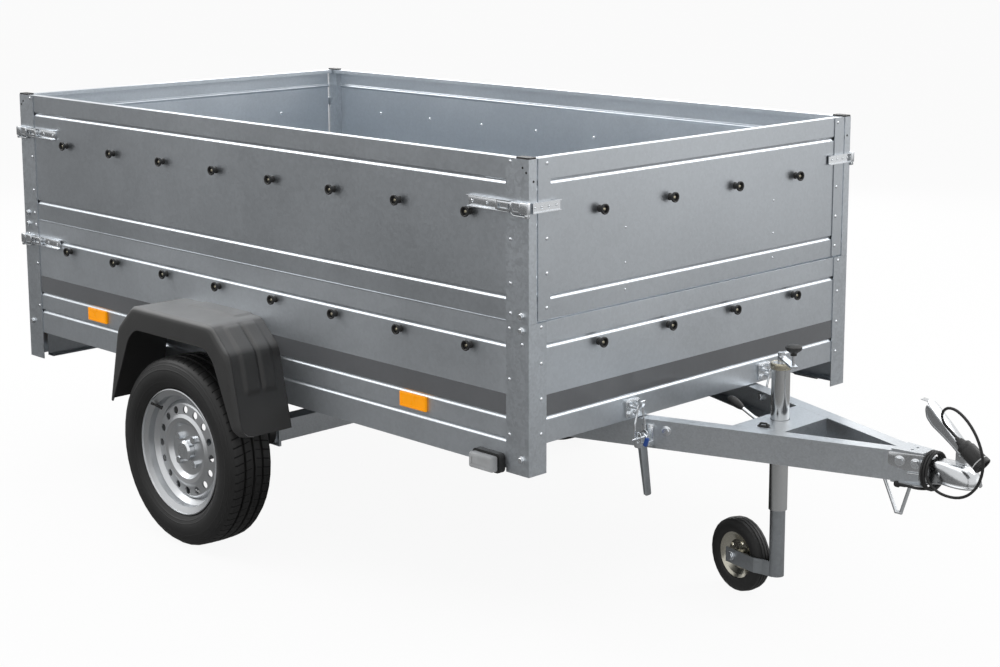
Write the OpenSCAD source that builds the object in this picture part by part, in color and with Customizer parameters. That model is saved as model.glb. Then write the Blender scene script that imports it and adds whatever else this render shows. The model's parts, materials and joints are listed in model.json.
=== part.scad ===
// Single-axle utility trailer: a galvanised box bed with a second row of boards,
// tipping on a V drawbar, parked on its road wheels and its jockey wheel.
// Millimetres, +X forward, +Y left, +Z up, ground at z = 0.

/* [Load bed] */
// Length of the bed over its corner posts
bed_l = 2290; // [1900:10:2700]
// Width of the bed over its corner posts
bed_w = 1310; // [1150:10:1500]
// Height of the floor's upper face above the ground
floor_z = 514; // [512:1:540]
// Thickness of the floor sheet
floor_t = 5; // [4:0.5:6]
// Height of the lower boards above the floor
lower_h = 297; // [280:1:400]
// Height of the upper boards
upper_h = 401; // [380:1:500]
// Depth of the side sill below the floor
sill_h = 74; // [60:1:90]
// Thickness of the sheet that the boards are folded from
sheet_t = 1.5; // [1:0.1:2.5]
// Width of a board's folded edge, which is the wall's thickness
fold_w = 25; // [20:1:32]
// Depth of the return lip on a board's folded edge
lip_h = 12; // [8:1:18]
// Depth of a pressed groove across a board
groove_d = 5; // [2:0.5:6]
// Width of a pressed groove across a board
groove_w = 14; // [10:1:20]
// Gap under a hinged upper board
flap_gap = 5; // [4:0.5:8]

/* [Corner posts] */
// Thickness of the post sheet
post_t = 2.5; // [2:0.5:4]
// Width of a post on the bed's side
post_side_w = 78; // [60:1:90]
// Width of a lower post on the bed's front or rear
post_end_w = 62; // [50:1:80]
// Width of an upper post on the bed's front or rear
upper_post_end_w = 27; // [24:1:35]
// Depth of an upper post's box section
upper_post_box = 45; // [40:1:52]
// How far a front post reaches below the floor
front_post_drop = 83; // [78:1:110]
// How far a rear post reaches below the floor
rear_post_drop = 162; // [130:1:180]
// Thickness of the plastic cap on a post
cap_t = 4; // [3:0.5:8]

/* [Knobs and latches] */
// How far a tarpaulin knob stands out
knob_out = 28; // [20:1:30]
// Radius of a tarpaulin knob's head
knob_r = 11; // [8:0.5:14]
// Distance between the knobs on a side
knob_pitch_side = 260; // [220:5:280]
// Distance between the knobs on a front or rear board
knob_pitch_end = 268; // [220:4:280]
// Height of a corner latch
latch_h = 26; // [20:1:32]
// Length of a corner latch on the bed's side
latch_l = 190; // [150:5:220]
// Length of the catch strap on a hinged board
strap_l = 100; // [80:5:110]

/* [Wheels] */
// Distance of the axle behind the bed's front
axle_back = 1236; // [1150:2:1300]
// Outer radius of a road tyre
tyre_r = 273.5; // [265:0.5:280]
// Section width of a road tyre
tyre_w = 155; // [145:1:165]
// Radius of the rim's flange
rim_r = 182.5; // [175:0.5:188]
// Width between the tyre and the bed's side
tyre_gap = 24; // [20:1:35]
// Radius of the stub axle
stub_r = 15; // [12:0.5:18]
// Thickness of a fender's wall
fender_t = 4; // [3:0.5:5]
// Width of a fender
fender_w = 183; // [181:1:200]

/* [Drawbar] */
// Height of the drawbar's upper face above the ground
drawbar_z = 503; // [490:1:506]
// Height of the channel that a drawbar arm is folded from
arm_h = 75; // [70:1:90]
// Width of a drawbar arm's flanges
arm_w = 40; // [35:1:45]
// Wall of a drawbar arm
arm_t = 3; // [2.5:0.5:4]
// Distance of the drawbar's nose in front of the bed
nose_x = 705; // [600:5:800]
// Half width of the drawbar at its nose
nose_half_w = 12; // [10:1:20]
// Distance from the nose to the tow ball's centre
ball_reach = 103; // [95:1:130]
// Radius of the tow ball
ball_r = 25; // [25]

/* [Jockey wheel] */
// Distance of the jockey leg in front of the bed
jockey_x = 262; // [230:2:300]
// Outer radius of the jockey wheel's tube
jockey_tube_r = 24; // [24]
// Radius of the jockey wheel's inner leg
jockey_leg_r = 20; // [16:0.5:21]
// Outer radius of the jockey wheel
jockey_wheel_r = 100; // [85:1:110]
// Width of the jockey wheel
jockey_wheel_w = 50; // [40:1:60]
// Distance of the jockey wheel's axle behind its leg
jockey_trail = 140; // [135:1:160]
// Angle that the jockey wheel is turned to where it is parked
jockey_turn = -11; // [-30:1:30]

/* [Tipping] */
// Distance of the tipping pivot in front of the axle
pivot_ahead = 30; // [10:1:40]
// Height of the tipping pivot above the ground
pivot_z = 400; // [390:1:410]
// Radius of the tipping pivot's pins
pivot_r = 8; // [6:0.5:10]

/* [Hidden] */
$fn = 48;

// Clearances
fit = 0.05;          // radial clearance of a turning pin
seat = 0.3;          // gap between two pieces that rest on each other
touch = 0.01;        // overlap that joins the solids of one piece
swing = 5;           // gap beside a board that swings
pin_fit = 0.4;       // radial clearance of a board's hinge pin in its post
sill_flange = 35;    // flange under a side board

// Heights
seam_z = floor_z + lower_h;
top_z = seam_z + upper_h;
sill_z = floor_z - sill_h;
front_board_z = floor_z - 8;
upper_grooves = [59, 342];       // above the seam
lower_grooves = [60, 240, 299];  // below the seam
upper_knob_z = seam_z + 256;
lower_knob_z = seam_z - 80;
upper_latch_z = seam_z + 284;
lower_latch_z = seam_z - 66;

// Widths and lengths of the bed
half_w = bed_w / 2;
board_y = half_w - post_t;               // outer face of a side board
inner_y = board_y - 1.3 * sheet_t - groove_d;  // clear of the grooves inside
board_x = -post_t;                       // outer face of the front board
end_board_half = board_y - fold_w - sheet_t;
flap_half = half_w - upper_post_end_w - swing;
knob_row_x = -205;                       // first knob of a side
side_knobs = floor((bed_l + 2 * knob_row_x) / knob_pitch_side) + 1;
end_knobs = 4;

// Running gear
axle_x = -axle_back;
wheel_y = half_w + tyre_gap + tyre_w / 2;
rim_half_w = 62;                         // from the wheel's middle to the rim's flange
hub_face = wheel_y + 26;                 // where the rim's disc bolts on
arm_back = 145;                          // torsion arm's reach along X
arm_down = 50;                           // torsion arm's drop
beam_x = axle_x + arm_back;
beam_z = tyre_r + arm_down;
beam_side = 60;
pivot_x = axle_x + pivot_ahead;
bracket_t = 8;
bracket_y = half_w - 57;                 // axle bracket, under the drawbar arm's rear end
arm_tan = (bracket_y + arm_w / 2 - nose_half_w) / (nose_x - beam_x);
arm_angle = atan(arm_tan);

// Coupling
ball_x = nose_x + ball_reach;
ball_z = drawbar_z - 43;
head_r = 40;
neck_z = drawbar_z - arm_h / 2;

// Frame of the finished part: midway between the coupling's tip and the rear knobs
front_tip = ball_x + head_r;
rear_tip = -bed_l - knob_out;
origin_x = (front_tip + rear_tip) / 2;

galvanised = "silver";
bright = "gainsboro";
black = [0.09, 0.09, 0.1];

// Folded sheet: a ribbon of thickness t to the left of a path, mitred at its bends
function unit(v) = v / norm(v);
function left_of(v) = [-v[1], v[0]];
function bend_normal(p, i) =
    let (n = len(p),
         a = left_of(unit(i > 0 ? p[i] - p[i - 1] : p[1] - p[0])),
         b = left_of(unit(i < n - 1 ? p[i + 1] - p[i] : p[n - 1] - p[n - 2])))
    (a + b) / (1 + a * b);
module folded(path, t) {
    polygon(concat(path, [for (i = [len(path) - 1:-1:0]) path[i] + t * bend_normal(path, i)]));
}
// A board's outer face at distance d from its front, pressed with grooves at the heights zs
function grooved(d, zs) = [for (z = zs, s = [-1, 0, 1])
    [d + (s == 0 ? groove_d : 0), z + s * groove_w / 2]];

module along_x(x0, x1) { translate([x0, 0, 0]) rotate([90, 0, 90]) linear_extrude(x1 - x0) children(); }
module along_y(y0, y1) { translate([0, y1, 0]) rotate([90, 0, 0]) linear_extrude(y1 - y0) children(); }
module rod_y(x, z, y0, y1, r) { translate([x, y1, z]) rotate([90, 0, 0]) cylinder(r = r, h = y1 - y0); }
module left() { mirror([0, 1, 0]) children(); }
module both_sides() { children(); left() children(); }
module row_frame() { translate([-origin_x, 0, 0]) children(); }
// Local frame at the right-hand end of the bed's front or rear: +X along the side, +Y along the end
module right_corner(end) {
    if (end == "front") translate([0, -half_w, 0]) mirror([1, 0, 0]) children();
    else translate([-bed_l, -half_w, 0]) children();
}
module corners(end) { both_sides() right_corner(end) children(); }
// What is modelled for the bed's front, turned to its rear
module at_rear() { translate([-bed_l, 0, 0]) mirror([1, 0, 0]) children(); }
module rounded_rect(w, h, r) {
    square([w - 2 * r, h], center = true);
    square([w, h - 2 * r], center = true);
    for (x = [-1, 1], y = [-1, 1]) translate([x * (w / 2 - r), y * (h / 2 - r)]) circle(r);
}

// Floor and its beams

module floor_sheet() {
    color(galvanised) translate([-bed_l + 32, -inner_y + seat, floor_z - floor_t])
        cube([bed_l - 64, 2 * (inner_y - seat), floor_t]);
}

beam_h = 60;
beam_flange = 40;
module floor_beams() {
    top = floor_z - floor_t;
    lug_gap = bracket_t / 2 + 1;
    color(galvanised) {
        first = pivot_x + beam_flange / 2;
        last = -bed_l + 274;
        for (x = [first, (first + last) / 2, last])
            translate([x, 0, 0]) along_y(-inner_y + seat, inner_y - seat)
                folded([[0, top - beam_h], [-beam_flange, top - beam_h], [-beam_flange, top], [0, top]], -3);
        both_sides() for (s = [-1, 1]) difference() {
            y = -bracket_y + s * (lug_gap + bracket_t / 2);
            union() {
                along_y(y - bracket_t / 2, y + bracket_t / 2)
                    polygon([[pivot_x - 20, pivot_z], [pivot_x + 20, pivot_z],
                             [pivot_x + 20, top - beam_h], [pivot_x - 20, top - beam_h]]);
                rod_y(pivot_x, pivot_z, y - bracket_t / 2, y + bracket_t / 2, 20);
            }
            rod_y(pivot_x, pivot_z, y - bracket_t, y + bracket_t, pivot_r + fit);
        }
    }
}

// Boards

module side_lower() {
    y = -board_y;
    path = concat([[y + sill_flange, sill_z], [y, sill_z]],
        grooved(y, [for (i = [2, 1, 0]) seam_z - lower_grooves[i]]),
        [[y, seam_z], [y + fold_w, seam_z], [y + fold_w, seam_z - lip_h]]);
    color(galvanised) along_x(-bed_l + post_t, -post_t) folded(path, -sheet_t);
}

module side_upper() {
    y = -board_y;
    bottom = seam_z + seat;
    path = concat([[y + fold_w, bottom + lip_h], [y + fold_w, bottom], [y, bottom]],
        grooved(y, [for (d = upper_grooves) seam_z + d]),
        [[y, top_z], [y + fold_w, top_z], [y + fold_w, top_z - lip_h]]);
    color(galvanised) along_x(-bed_l + upper_post_box + seat, -upper_post_box - seat) folded(path, -sheet_t);
}

// Profile of a front or rear board in the X-Z plane, its outer face at x = face
function end_board(face, low, high, grooves) = concat(
    [[face - fold_w, low + lip_h], [face - fold_w, low], [face, low]],
    [for (z = grooves, s = [-1, 0, 1]) [face - (s == 0 ? groove_d : 0), z + s * groove_w / 2]],
    [[face, high], [face - fold_w, high], [face - fold_w, high - lip_h]]);

module front_lower_board() {
    path = end_board(board_x, front_board_z, seam_z, [seam_z - lower_grooves[1], seam_z - lower_grooves[0]]);
    color(galvanised) along_y(-end_board_half, end_board_half) folded(path, sheet_t);
}

// Hinged upper board: a folded sheet, a flat strip at each end and pins into the posts
flap_pin_x = -6;
flap_pin_z = seam_z + flap_gap + 25;
flap_pin_r = 4;
strip_w = 43;
module flap() {
    low = seam_z + flap_gap;
    path = end_board(board_x, low, top_z, [for (d = upper_grooves) seam_z + d]);
    color(galvanised) {
        along_y(-flap_half, flap_half) folded(path, sheet_t);
        both_sides() {
            translate([board_x - touch, -flap_half, low]) cube([post_t + touch, strip_w, top_z - low]);
            rod_y(flap_pin_x, flap_pin_z, -flap_half - swing - post_t - 0.8, -flap_half + 16, flap_pin_r);
            translate([flap_pin_x - 5, -flap_half + touch, flap_pin_z - 7 + sheet_t / 2])
                cube([4.5, 15, 14]);
        }
    }
}

// Tailgate: the lower rear board on outside barrel hinges
gate_low = floor_z + 4;
hinge_u = 8;                 // barrel's distance behind the board's face
hinge_z = floor_z - 4;
barrel_r = 7;
gate_half = half_w - post_end_w - swing;
hinge_ys = [-380, 0, 380];   // middles of the hinges
knuckle_l = 30;
module tailgate() {
    path = end_board(0, gate_low, seam_z - seat, [seam_z - lower_grooves[1], seam_z - lower_grooves[0]]);
    color(galvanised) at_rear() {
        along_y(-gate_half, gate_half) folded(path, sheet_t);
        for (y = hinge_ys) difference() {
            union() {
                rod_y(hinge_u, hinge_z, y - knuckle_l / 2, y + knuckle_l / 2, barrel_r);
                along_y(y - knuckle_l / 2, y + knuckle_l / 2)
                    polygon([[0, gate_low], [hinge_u + barrel_r, hinge_z],
                             [4, gate_low + 50], [0, gate_low + 50]]);
            }
            rod_y(hinge_u, hinge_z, y - knuckle_l, y + knuckle_l, 4 + fit);
        }
    }
}

// Rear apron: carries the tail lamps under the tailgate and the fixed halves of its hinges
apron_set_back = 40;
module rear_apron() {
    low = floor_z - rear_post_drop;
    high = floor_z - 10;
    path = [[-32, low], [0, low], [0, high], [-32, high]];
    color(galvanised) at_rear() {
        translate([-apron_set_back, 0, 0]) along_y(-board_y + sill_flange + 1 + seat, board_y - sill_flange - 1 - seat) folded(path, 2);
        for (y = hinge_ys, s = [-1, 1]) {
            y0 = y + s * (knuckle_l + 1) - knuckle_l / 2;
            rod_y(hinge_u, hinge_z, y0, y0 + knuckle_l, barrel_r);
            along_y(y0, y0 + knuckle_l)
                polygon([[-apron_set_back - 20, high - 2], [hinge_u, hinge_z - barrel_r],
                         [hinge_u, hinge_z], [0, hinge_z], [-apron_set_back - 20, high]]);
        }
        for (y = hinge_ys) rod_y(hinge_u, hinge_z, y - 1.5 * knuckle_l, y + 1.5 * knuckle_l, 4);
    }
}

// Corner posts

module lower_posts() {
    drops = [["front", front_post_drop], ["rear", rear_post_drop]];
    color(galvanised) for (d = drops) corners(d[0])
        translate([0, 0, floor_z - d[1]]) linear_extrude(lower_h + d[1])
            folded([[post_side_w, 0], [0, 0], [0, post_end_w]], -post_t);
}

module upper_posts() {
    color(galvanised) for (end = ["front", "rear"]) corners(end) difference() {
        translate([0, 0, seam_z + seat]) linear_extrude(upper_h - seat)
            folded([[post_side_w, 0], [0, 0], [0, upper_post_end_w], [upper_post_box, upper_post_end_w],
                    [upper_post_box, post_t + 1]], -post_t);
        rod_y(-flap_pin_x, flap_pin_z, upper_post_end_w - post_t - 1, upper_post_end_w + 1, flap_pin_r + pin_fit);
    }
}

module post_caps() {
    color(black) for (end = ["front", "rear"]) corners(end)
        translate([upper_post_box / 2, upper_post_end_w / 2, top_z]) linear_extrude(cap_t)
            rounded_rect(upper_post_box, upper_post_end_w, 4);
}

// Tarpaulin knobs

module knob() {
    rotate_extrude() polygon([[0, 0], [knob_r + 1, 0], [knob_r, 3], [knob_r * 0.62, 5],
        [knob_r * 0.62, knob_out - 9], [knob_r, knob_out - 6], [knob_r, knob_out - 2],
        [knob_r - 2, knob_out], [knob_r * 0.45, knob_out], [knob_r * 0.35, knob_out - 3], [0, knob_out - 3]]);
}
module side_knob_rows() {
    for (i = [0:side_knobs - 1], z = [upper_knob_z, lower_knob_z])
        translate([knob_row_x - i * knob_pitch_side, -board_y - touch, z]) rotate([90, 0, 0]) knob();
}
module end_knob_row(face, z) {
    for (i = [0:end_knobs - 1])
        translate([face, (i - (end_knobs - 1) / 2) * knob_pitch_end, z]) rotate([0, 90, 0]) knob();
}
module bed_knobs() {
    color(black) {
        both_sides() side_knob_rows();
        end_knob_row(board_x, lower_knob_z);
    }
}

// Corner latches: a channel with a hinged lever on the bed's side, a catch strap on the hinged board

module latch_channel(l) {
    along_x(0, l) folded([[0, latch_h / 2], [-6, latch_h / 2], [-6, -latch_h / 2], [0, -latch_h / 2]], -2);
}
module corner_latch() {
    reach = latch_l - 40;
    translate([24, -seat, 0]) along_x(0, reach) folded([[0, -latch_h / 2], [-3, -latch_h / 2], [-3, latch_h / 2],
        [0, latch_h / 2]], 3 - seat);
    translate([10, -3 - seat, 0]) latch_channel(latch_l - 75);
    translate([10, -9 - seat, 0]) difference() {
        along_x(0, 62) square([9, latch_h + 6], center = true);
        translate([30, -5, 0]) cube([30, 8, latch_h - 4], center = true);
    }
    translate([-7, -14 - seat, -latch_h / 2 - 2]) cube([20, 14, latch_h + 4]);
}
module corner_latches() {
    color(bright) {
        both_sides() right_corner("front") translate([0, 0, upper_latch_z]) corner_latch();
        for (z = [upper_latch_z, lower_latch_z])
            both_sides() right_corner("rear") translate([0, 0, z]) corner_latch();
    }
}
module strap(z) {
    both_sides() translate([0, -half_w + swing, z]) {
        translate([seat, 0, -latch_h / 2]) cube([3, strap_l, latch_h]);
        for (s = [-1, 1]) translate([seat, 0, s * (latch_h / 2 - 1) - 1]) cube([9, strap_l, 2]);
        translate([seat, 0, -latch_h / 2]) cube([9, 3, latch_h]);
    }
}

// Wheels, modelled round the wheel's own axle, +Y to the bed

module road_tyre() {
    half = tyre_w / 2;
    tread = tyre_w * 0.4;
    profile = [[rim_r - 17.6, -48.5], [rim_r - 2, -54.8], [rim_r + 1.5, -57], [rim_r + 6, -half + 8],
               [rim_r + 25, -half + 1], [rim_r + 40, -half],
               [rim_r + 60, -half + 4], [tyre_r - 8, -tread], [tyre_r - 2, -tread + 10], [tyre_r, -tread + 25]];
    color(black) rotate([90, 0, 0]) rotate_extrude($fn = 96) difference() {
        polygon(concat(profile, [for (i = [len(profile) - 1:-1:0]) [profile[i][0], -profile[i][1]]]));
        for (y = [-36, -12, 12, 36]) translate([tyre_r - 7, y - 3]) square([10, 6]);
    }
}

hole_ring_r = 119;
module road_rim() {
    bolts = 4;
    vents = 16;
    out = -rim_half_w;
    barrel = [[rim_r, out], [rim_r - 2, out + 6], [rim_r - 18, out + 12], [rim_r - 20, out + 30],
              [rim_r - 34, out + 42], [rim_r - 34, 20], [rim_r - 20, 40], [rim_r - 18, rim_half_w - 12],
              [rim_r - 2, rim_half_w - 6], [rim_r, rim_half_w]];
    disc = [[rim_r - 35.5, out + 46], [rim_r - 45, out + 33], [hole_ring_r + 14, out + 30], [hole_ring_r - 14, out + 27],
            [hole_ring_r - 24, out + 22], [hole_ring_r - 36, out + 24], [hole_ring_r - 46, out + 36],
            [30, out + 36]];
    color(bright) rotate([90, 0, 0]) difference() {
        rotate_extrude($fn = 96) mirror([0, 1]) { folded(barrel, 3); folded(disc, -4); }
        for (i = [0:vents - 1]) rotate(i * 360 / vents) translate([hole_ring_r, 0, 20]) cylinder(r = 10.5, h = 40);
        for (i = [0:bolts - 1]) rotate(i * 360 / bolts + 45) translate([50, 0, 10]) cylinder(r = 7, h = 40);
    }
}

module road_hub() {
    face = rim_half_w - 36 - touch;
    color(bright) rotate([90, 0, 0]) difference() {
        union() {
            translate([0, 0, face - 14]) cylinder(r = 66, h = 10);
            translate([0, 0, face - 100]) cylinder(r = 42, h = 90);
            translate([0, 0, face - 5]) cylinder(r = 29.5, h = 20);
            translate([0, 0, face + 15 - touch]) cylinder(r1 = 29.5, r2 = 24, h = 6);
            for (i = [0:3]) rotate(i * 90 + 45) translate([50, 0, face - 5]) {
                cylinder(r = 6, h = 12);
                translate([0, 0, 5 + 2 * touch]) cylinder(r = 11, h = 12, $fn = 6);
            }
        }
        translate([0, 0, face - 101]) cylinder(r = stub_r + fit, h = 91);
    }
}

module on_axle() { translate([axle_x, -wheel_y, tyre_r]) children(); }

// Fenders: a moulded shell with a flat top, sloping ends and an arch cut in its outer wall

fender_top = 676;
fender_low = 376;
// Half outline of the shell: distance from the axle, height
fender_half = [[317, fender_low], [267, 601], [187, fender_top]];
arch_half = [[310, fender_low - 5], [197, 577], [165, 608]];
function both_ways(half, inset) = concat(
    [for (p = half) [p[0] - inset, p[1] - (p[1] > fender_low ? inset : 0)]],
    [for (i = [len(half) - 1:-1:0]) [inset - half[i][0], half[i][1] - (half[i][1] > fender_low ? inset : 0)]]);
module fender_block(inset) {
    round_w = 24;
    y1 = half_w + fender_w - inset;
    translate([axle_x, 0, 0]) {
        along_y(-y1 + round_w, -board_y - seat) polygon(both_ways(fender_half, inset));
        translate([0, -y1 + round_w + touch, fender_low]) rotate([90, 0, 0])
            linear_extrude(round_w, scale = [0.93, 0.93]) translate([0, -fender_low])
                polygon(both_ways(fender_half, inset));
    }
}
module fender() {
    slope = atan2(fender_half[0][0] - fender_half[1][0], fender_half[1][1] - fender_half[0][1]);
    color(black) difference() {
        fender_block(0);
        translate([0, 0.5, -touch]) fender_block(fender_t);
        translate([axle_x, 0, 0]) along_y(-half_w - fender_w - 5, -half_w - fender_w + fender_t + 28)
            polygon(both_ways(arch_half, 0));
        translate([axle_x, 0, -300]) along_y(-half_w - fender_w, -half_w + 5)
            polygon([[-330, 300], [330, 300], [330, fender_low + 300], [-330, fender_low + 300]]);
        for (y = [58, 96]) translate([axle_x + fender_half[0][0], -half_w - y, fender_low]) rotate([0, -slope, 0])
            translate([-1.5, -11, 70]) cube([10, 22, 180]);
    }
}

// Lamps and reflectors

reflector = [100, 8, 40];
module side_reflectors() {
    color("orange") both_sides() for (x = [-415, -bed_l + 410])
        translate([x, -board_y - seat - reflector[1] / 2, floor_z + 33]) rotate([90, 0, 0])
            translate([0, 0, -reflector[1] / 2]) linear_extrude(reflector[1])
                rounded_rect(reflector[0], reflector[2], 3);
}
lamp_x = -132;
lamp_base = 18;              // depth of a front lamp's rubber base
lamp_z = floor_z - 63;
module front_lamp_arms() {
    color(black) both_sides() translate([lamp_x, -board_y - seat, lamp_z]) rotate([90, 0, 0])
        linear_extrude(lamp_base) rounded_rect(98, 50, 12);
}
module front_lamp_lenses() {
    color("white") both_sides() translate([lamp_x, -board_y - lamp_base - 2 * seat, lamp_z]) rotate([90, 0, 0]) {
        linear_extrude(16) rounded_rect(84, 40, 10);
        translate([0, 0, 16 - touch]) linear_extrude(6) rounded_rect(64, 30, 8);
    }
}
tail_lamp = [190, 38, 90];
module tail_lamps() {
    color("firebrick") at_rear() both_sides()
        translate([-apron_set_back + seat, -half_w + post_end_w + 10 + tail_lamp[0] / 2, floor_z - 95])
            rotate([90, 0, 90]) {
                linear_extrude(tail_lamp[1] - 8) rounded_rect(tail_lamp[0], tail_lamp[2], 10);
                translate([0, 0, tail_lamp[1] - 8 - touch]) linear_extrude(8)
                    rounded_rect(tail_lamp[0] - 12, tail_lamp[2] - 12, 8);
            }
}

// Drawbar: two channels open to the inside, meeting at the nose

module on_arm() { translate([nose_x, -nose_half_w, drawbar_z]) rotate([0, 0, arm_angle]) mirror([1, 0, 0]) children(); }
arm_l = (board_y - sill_flange - swing - nose_half_w) / sin(arm_angle);  // ends inside the side sill
module drawbar_arm() {
    trim = nose_half_w;
    color(galvanised) difference() {
        on_arm() along_x(0, arm_l)
            folded([[arm_w, 0], [0, 0], [0, -arm_h], [arm_w, -arm_h]], arm_t);
        translate([0, 1, drawbar_z - arm_h - 1]) translate([0, -2, 0]) cube([nose_x + 50, 200, arm_h + 2]);
        translate([nose_x - trim, -100, drawbar_z - arm_h - 1]) cube([100, 200, arm_h + 2]);
    }
}

plate_rear = 215;
plate_front = 345;
plate_t = 4;
function inner_y_at(x) = nose_half_w + (nose_x - x) * arm_tan - arm_w / cos(arm_angle);
module drawbar_cross_plate() {
    color(galvanised) difference() {
        union() {
            translate([0, 0, drawbar_z - plate_t]) linear_extrude(plate_t) polygon([
                [plate_rear, -inner_y_at(plate_rear) + seat], [plate_front, -inner_y_at(plate_front) + seat],
                [plate_front, inner_y_at(plate_front) - seat], [plate_rear, inner_y_at(plate_rear) - seat]]);
            w = inner_y_at(plate_front) - 4;
            translate([plate_front - plate_t, -w, drawbar_z - arm_h + 8]) cube([plate_t, 2 * w, arm_h - 8 - touch]);
        }
        translate([jockey_x, 0, drawbar_z - 10]) cylinder(r = jockey_tube_r + 2, h = 20);
    }
}

module drawbar_nose() {
    rear = nose_x - 81;
    w0 = nose_half_w + 81 * arm_tan;
    color(galvanised) difference() {
        for (z = [drawbar_z + seat, drawbar_z - arm_h - seat - 4]) translate([0, 0, z]) linear_extrude(4)
            polygon([[rear, -w0 + 2], [nose_x, -nose_half_w - 14], [nose_x, nose_half_w + 14], [rear, w0 - 2]]);
        for (y = [-12, 12]) translate([nose_x - 38, y, drawbar_z - 1]) cylinder(r = 4, h = 10);
    }
}

// Coupling: a pressed sleeve over the nose, running out into the round head over the ball

sleeve_w = 54;
head_low = 22;               // rim of the head below the ball's centre
head_high = 38;              // top of the head above the ball's centre
cup_room = 6;                // room round the ball inside the pressed shell
cup_high = 14;               // where the ball's seat begins above its centre
module coupling_head() {
    rear = nose_x - nose_half_w + seat;
    front = ball_x - 18;
    color(bright) difference() {
        union() {
            along_y(-sleeve_w / 2, sleeve_w / 2) polygon([[rear, neck_z - 30], [ball_x - 44, neck_z - 27],
                [front, ball_z - head_low], [front, ball_z + head_high - 3], [rear, neck_z + 30]]);
            translate([ball_x, 0, ball_z - head_low]) rotate_extrude($fn = 64) polygon([[0, 0], [head_r, 0],
                [head_r, 5], [head_r - 3, 7], [head_r - 3, head_low + 2], [head_r - 6, head_low + 24],
                [head_r - 20, head_low + 34], [14, head_low + head_high], [0, head_low + head_high]]);
        }
        translate([ball_x, 0, ball_z]) sphere(r = ball_r + fit, $fn = 64);
        translate([ball_x, 0, ball_z - 30]) cylinder(r = ball_r + cup_room, h = 30 + cup_high, $fn = 64);
    }
}
handle_l = 150;
module coupling_handle() {
    foot_z = ball_z + head_high + seat;
    color(bright) {
        translate([ball_x - 22, -8, foot_z]) cube([22, 16, 34]);
        translate([ball_x - 10, 0, foot_z + 30]) rotate([0, -136, 0]) difference() {
            translate([-10, -19, -12]) cube([handle_l + 10, 38, 20]);
            translate([12, -17, -9]) cube([handle_l, 34, 20]);
        }
    }
}

// Bent bar under the nose that takes a safety chain
module safety_eye() {
    r = 4.5;
    z0 = drawbar_z - arm_h - 4 - 2 * seat - 0.42 * r;
    pts = [[nose_x - 125, z0], [nose_x - 86, z0 - 84], [nose_x - 72, z0 - 84], [nose_x - 45, z0]];
    color(bright) {
        for (i = [0:2]) {
            a = pts[i];
            d = pts[i + 1] - a;
            translate([a[0], 0, a[1]]) rotate([0, 90 - atan2(d[1], d[0]), 0]) cylinder(r = r, h = norm(d), $fn = 24);
        }
        for (i = [1, 2]) translate([pts[i][0], 0, pts[i][1]]) sphere(r = r + 0.4, $fn = 24);
    }
}
// Axle: a square tube with a rubber-sprung trailing arm at each end

module axle_beam() {
    half = bracket_y + bracket_t / 2 + 6;
    color(galvanised) along_y(-half, half) difference() {
        translate([beam_x - beam_side / 2, beam_z - beam_side / 2]) square(beam_side);
        translate([beam_x - beam_side / 2 + 4, beam_z - beam_side / 2 + 4]) square(beam_side - 8);
    }
}
module axle_brackets() {
    half = beam_side / 2 + 0.1;
    color(galvanised) both_sides() {
        difference() {
            along_y(-bracket_y - bracket_t / 2, -bracket_y + bracket_t / 2) polygon([
                [beam_x + 70, drawbar_z - arm_h - seat], [beam_x - 15, drawbar_z - arm_h - seat],
                [pivot_x, pivot_z + 22], [pivot_x - 22, pivot_z], [pivot_x, pivot_z - 22],
                [beam_x - half - 12, beam_z - half - 10], [beam_x + half + 12, beam_z - half - 10],
                [beam_x + half + 12, beam_z + half]]);
            translate([beam_x - half, -bracket_y - bracket_t, beam_z - half])
                cube([2 * half, 2 * bracket_t, 2 * half]);
        }
        rod_y(pivot_x, pivot_z, -bracket_y - 1.5 * bracket_t - 6, -bracket_y + 1.5 * bracket_t + 6, pivot_r);
    }
}
module torsion_arms() {
    y0 = bracket_y + bracket_t / 2 + 6 + seat;
    hub_in = hub_face - 100;
    color(black) both_sides() {
        hull() {
            rod_y(beam_x, beam_z, -y0 - 22, -y0, 38);
            rod_y(axle_x, tyre_r, -y0 - 22, -y0, 28);
        }
        rod_y(axle_x, tyre_r, -hub_face + 14, -y0 - 22 + touch, stub_r);
    }
}

// Rubber pads on the drawbar that the bed rests on
module rest_pads() {
    color(black) both_sides() for (d = [0.48, 0.8]) on_arm() translate([d * arm_l, 5, 0])
        cube([60, arm_w - 10, floor_z - floor_t - seat - drawbar_z]);
}

// Hold-down latches: a lever on each drawbar arm pulls a wire bail down over a hook on the bed's front
latch_at = (nose_x - 34) / cos(arm_angle);
hook_y = nose_half_w + (nose_x - 34) * arm_tan + 37;
hook_x = 26;                 // bail's distance in front of the bed
bail_r = 3;
bail_half = 20;
module hold_down_latches() {
    color(bright) both_sides() {
        on_arm() translate([latch_at - 26, -5 - seat, -70]) cube([52, 5, 60]);
        translate([hook_x, -hook_y, 0]) {
            translate([-4, -11, drawbar_z - 66]) cube([22, 22, 40]);
            translate([-4, 10, drawbar_z - 66]) cube([22, 22, 14]);
            translate([4, 0, drawbar_z - 52]) rotate([0, -8, 0]) translate([-4, -11, -140]) difference() {
                cube([13, 22, 150]);
                translate([3, 3, 6]) cube([13, 16, 136]);
            }
        }
    }
}
module hold_down_hooks() {
    color(bright) both_sides() translate([board_x + seat, -hook_y, drawbar_z + 6]) {
        translate([0, -24, 0]) cube([4, 48, 52]);
        translate([3, -9, 30]) cube([hook_x + 8 - board_x, 18, 5]);
        translate([hook_x + 6 - board_x, -9, 30]) cube([5, 18, 22]);
    }
}
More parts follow.
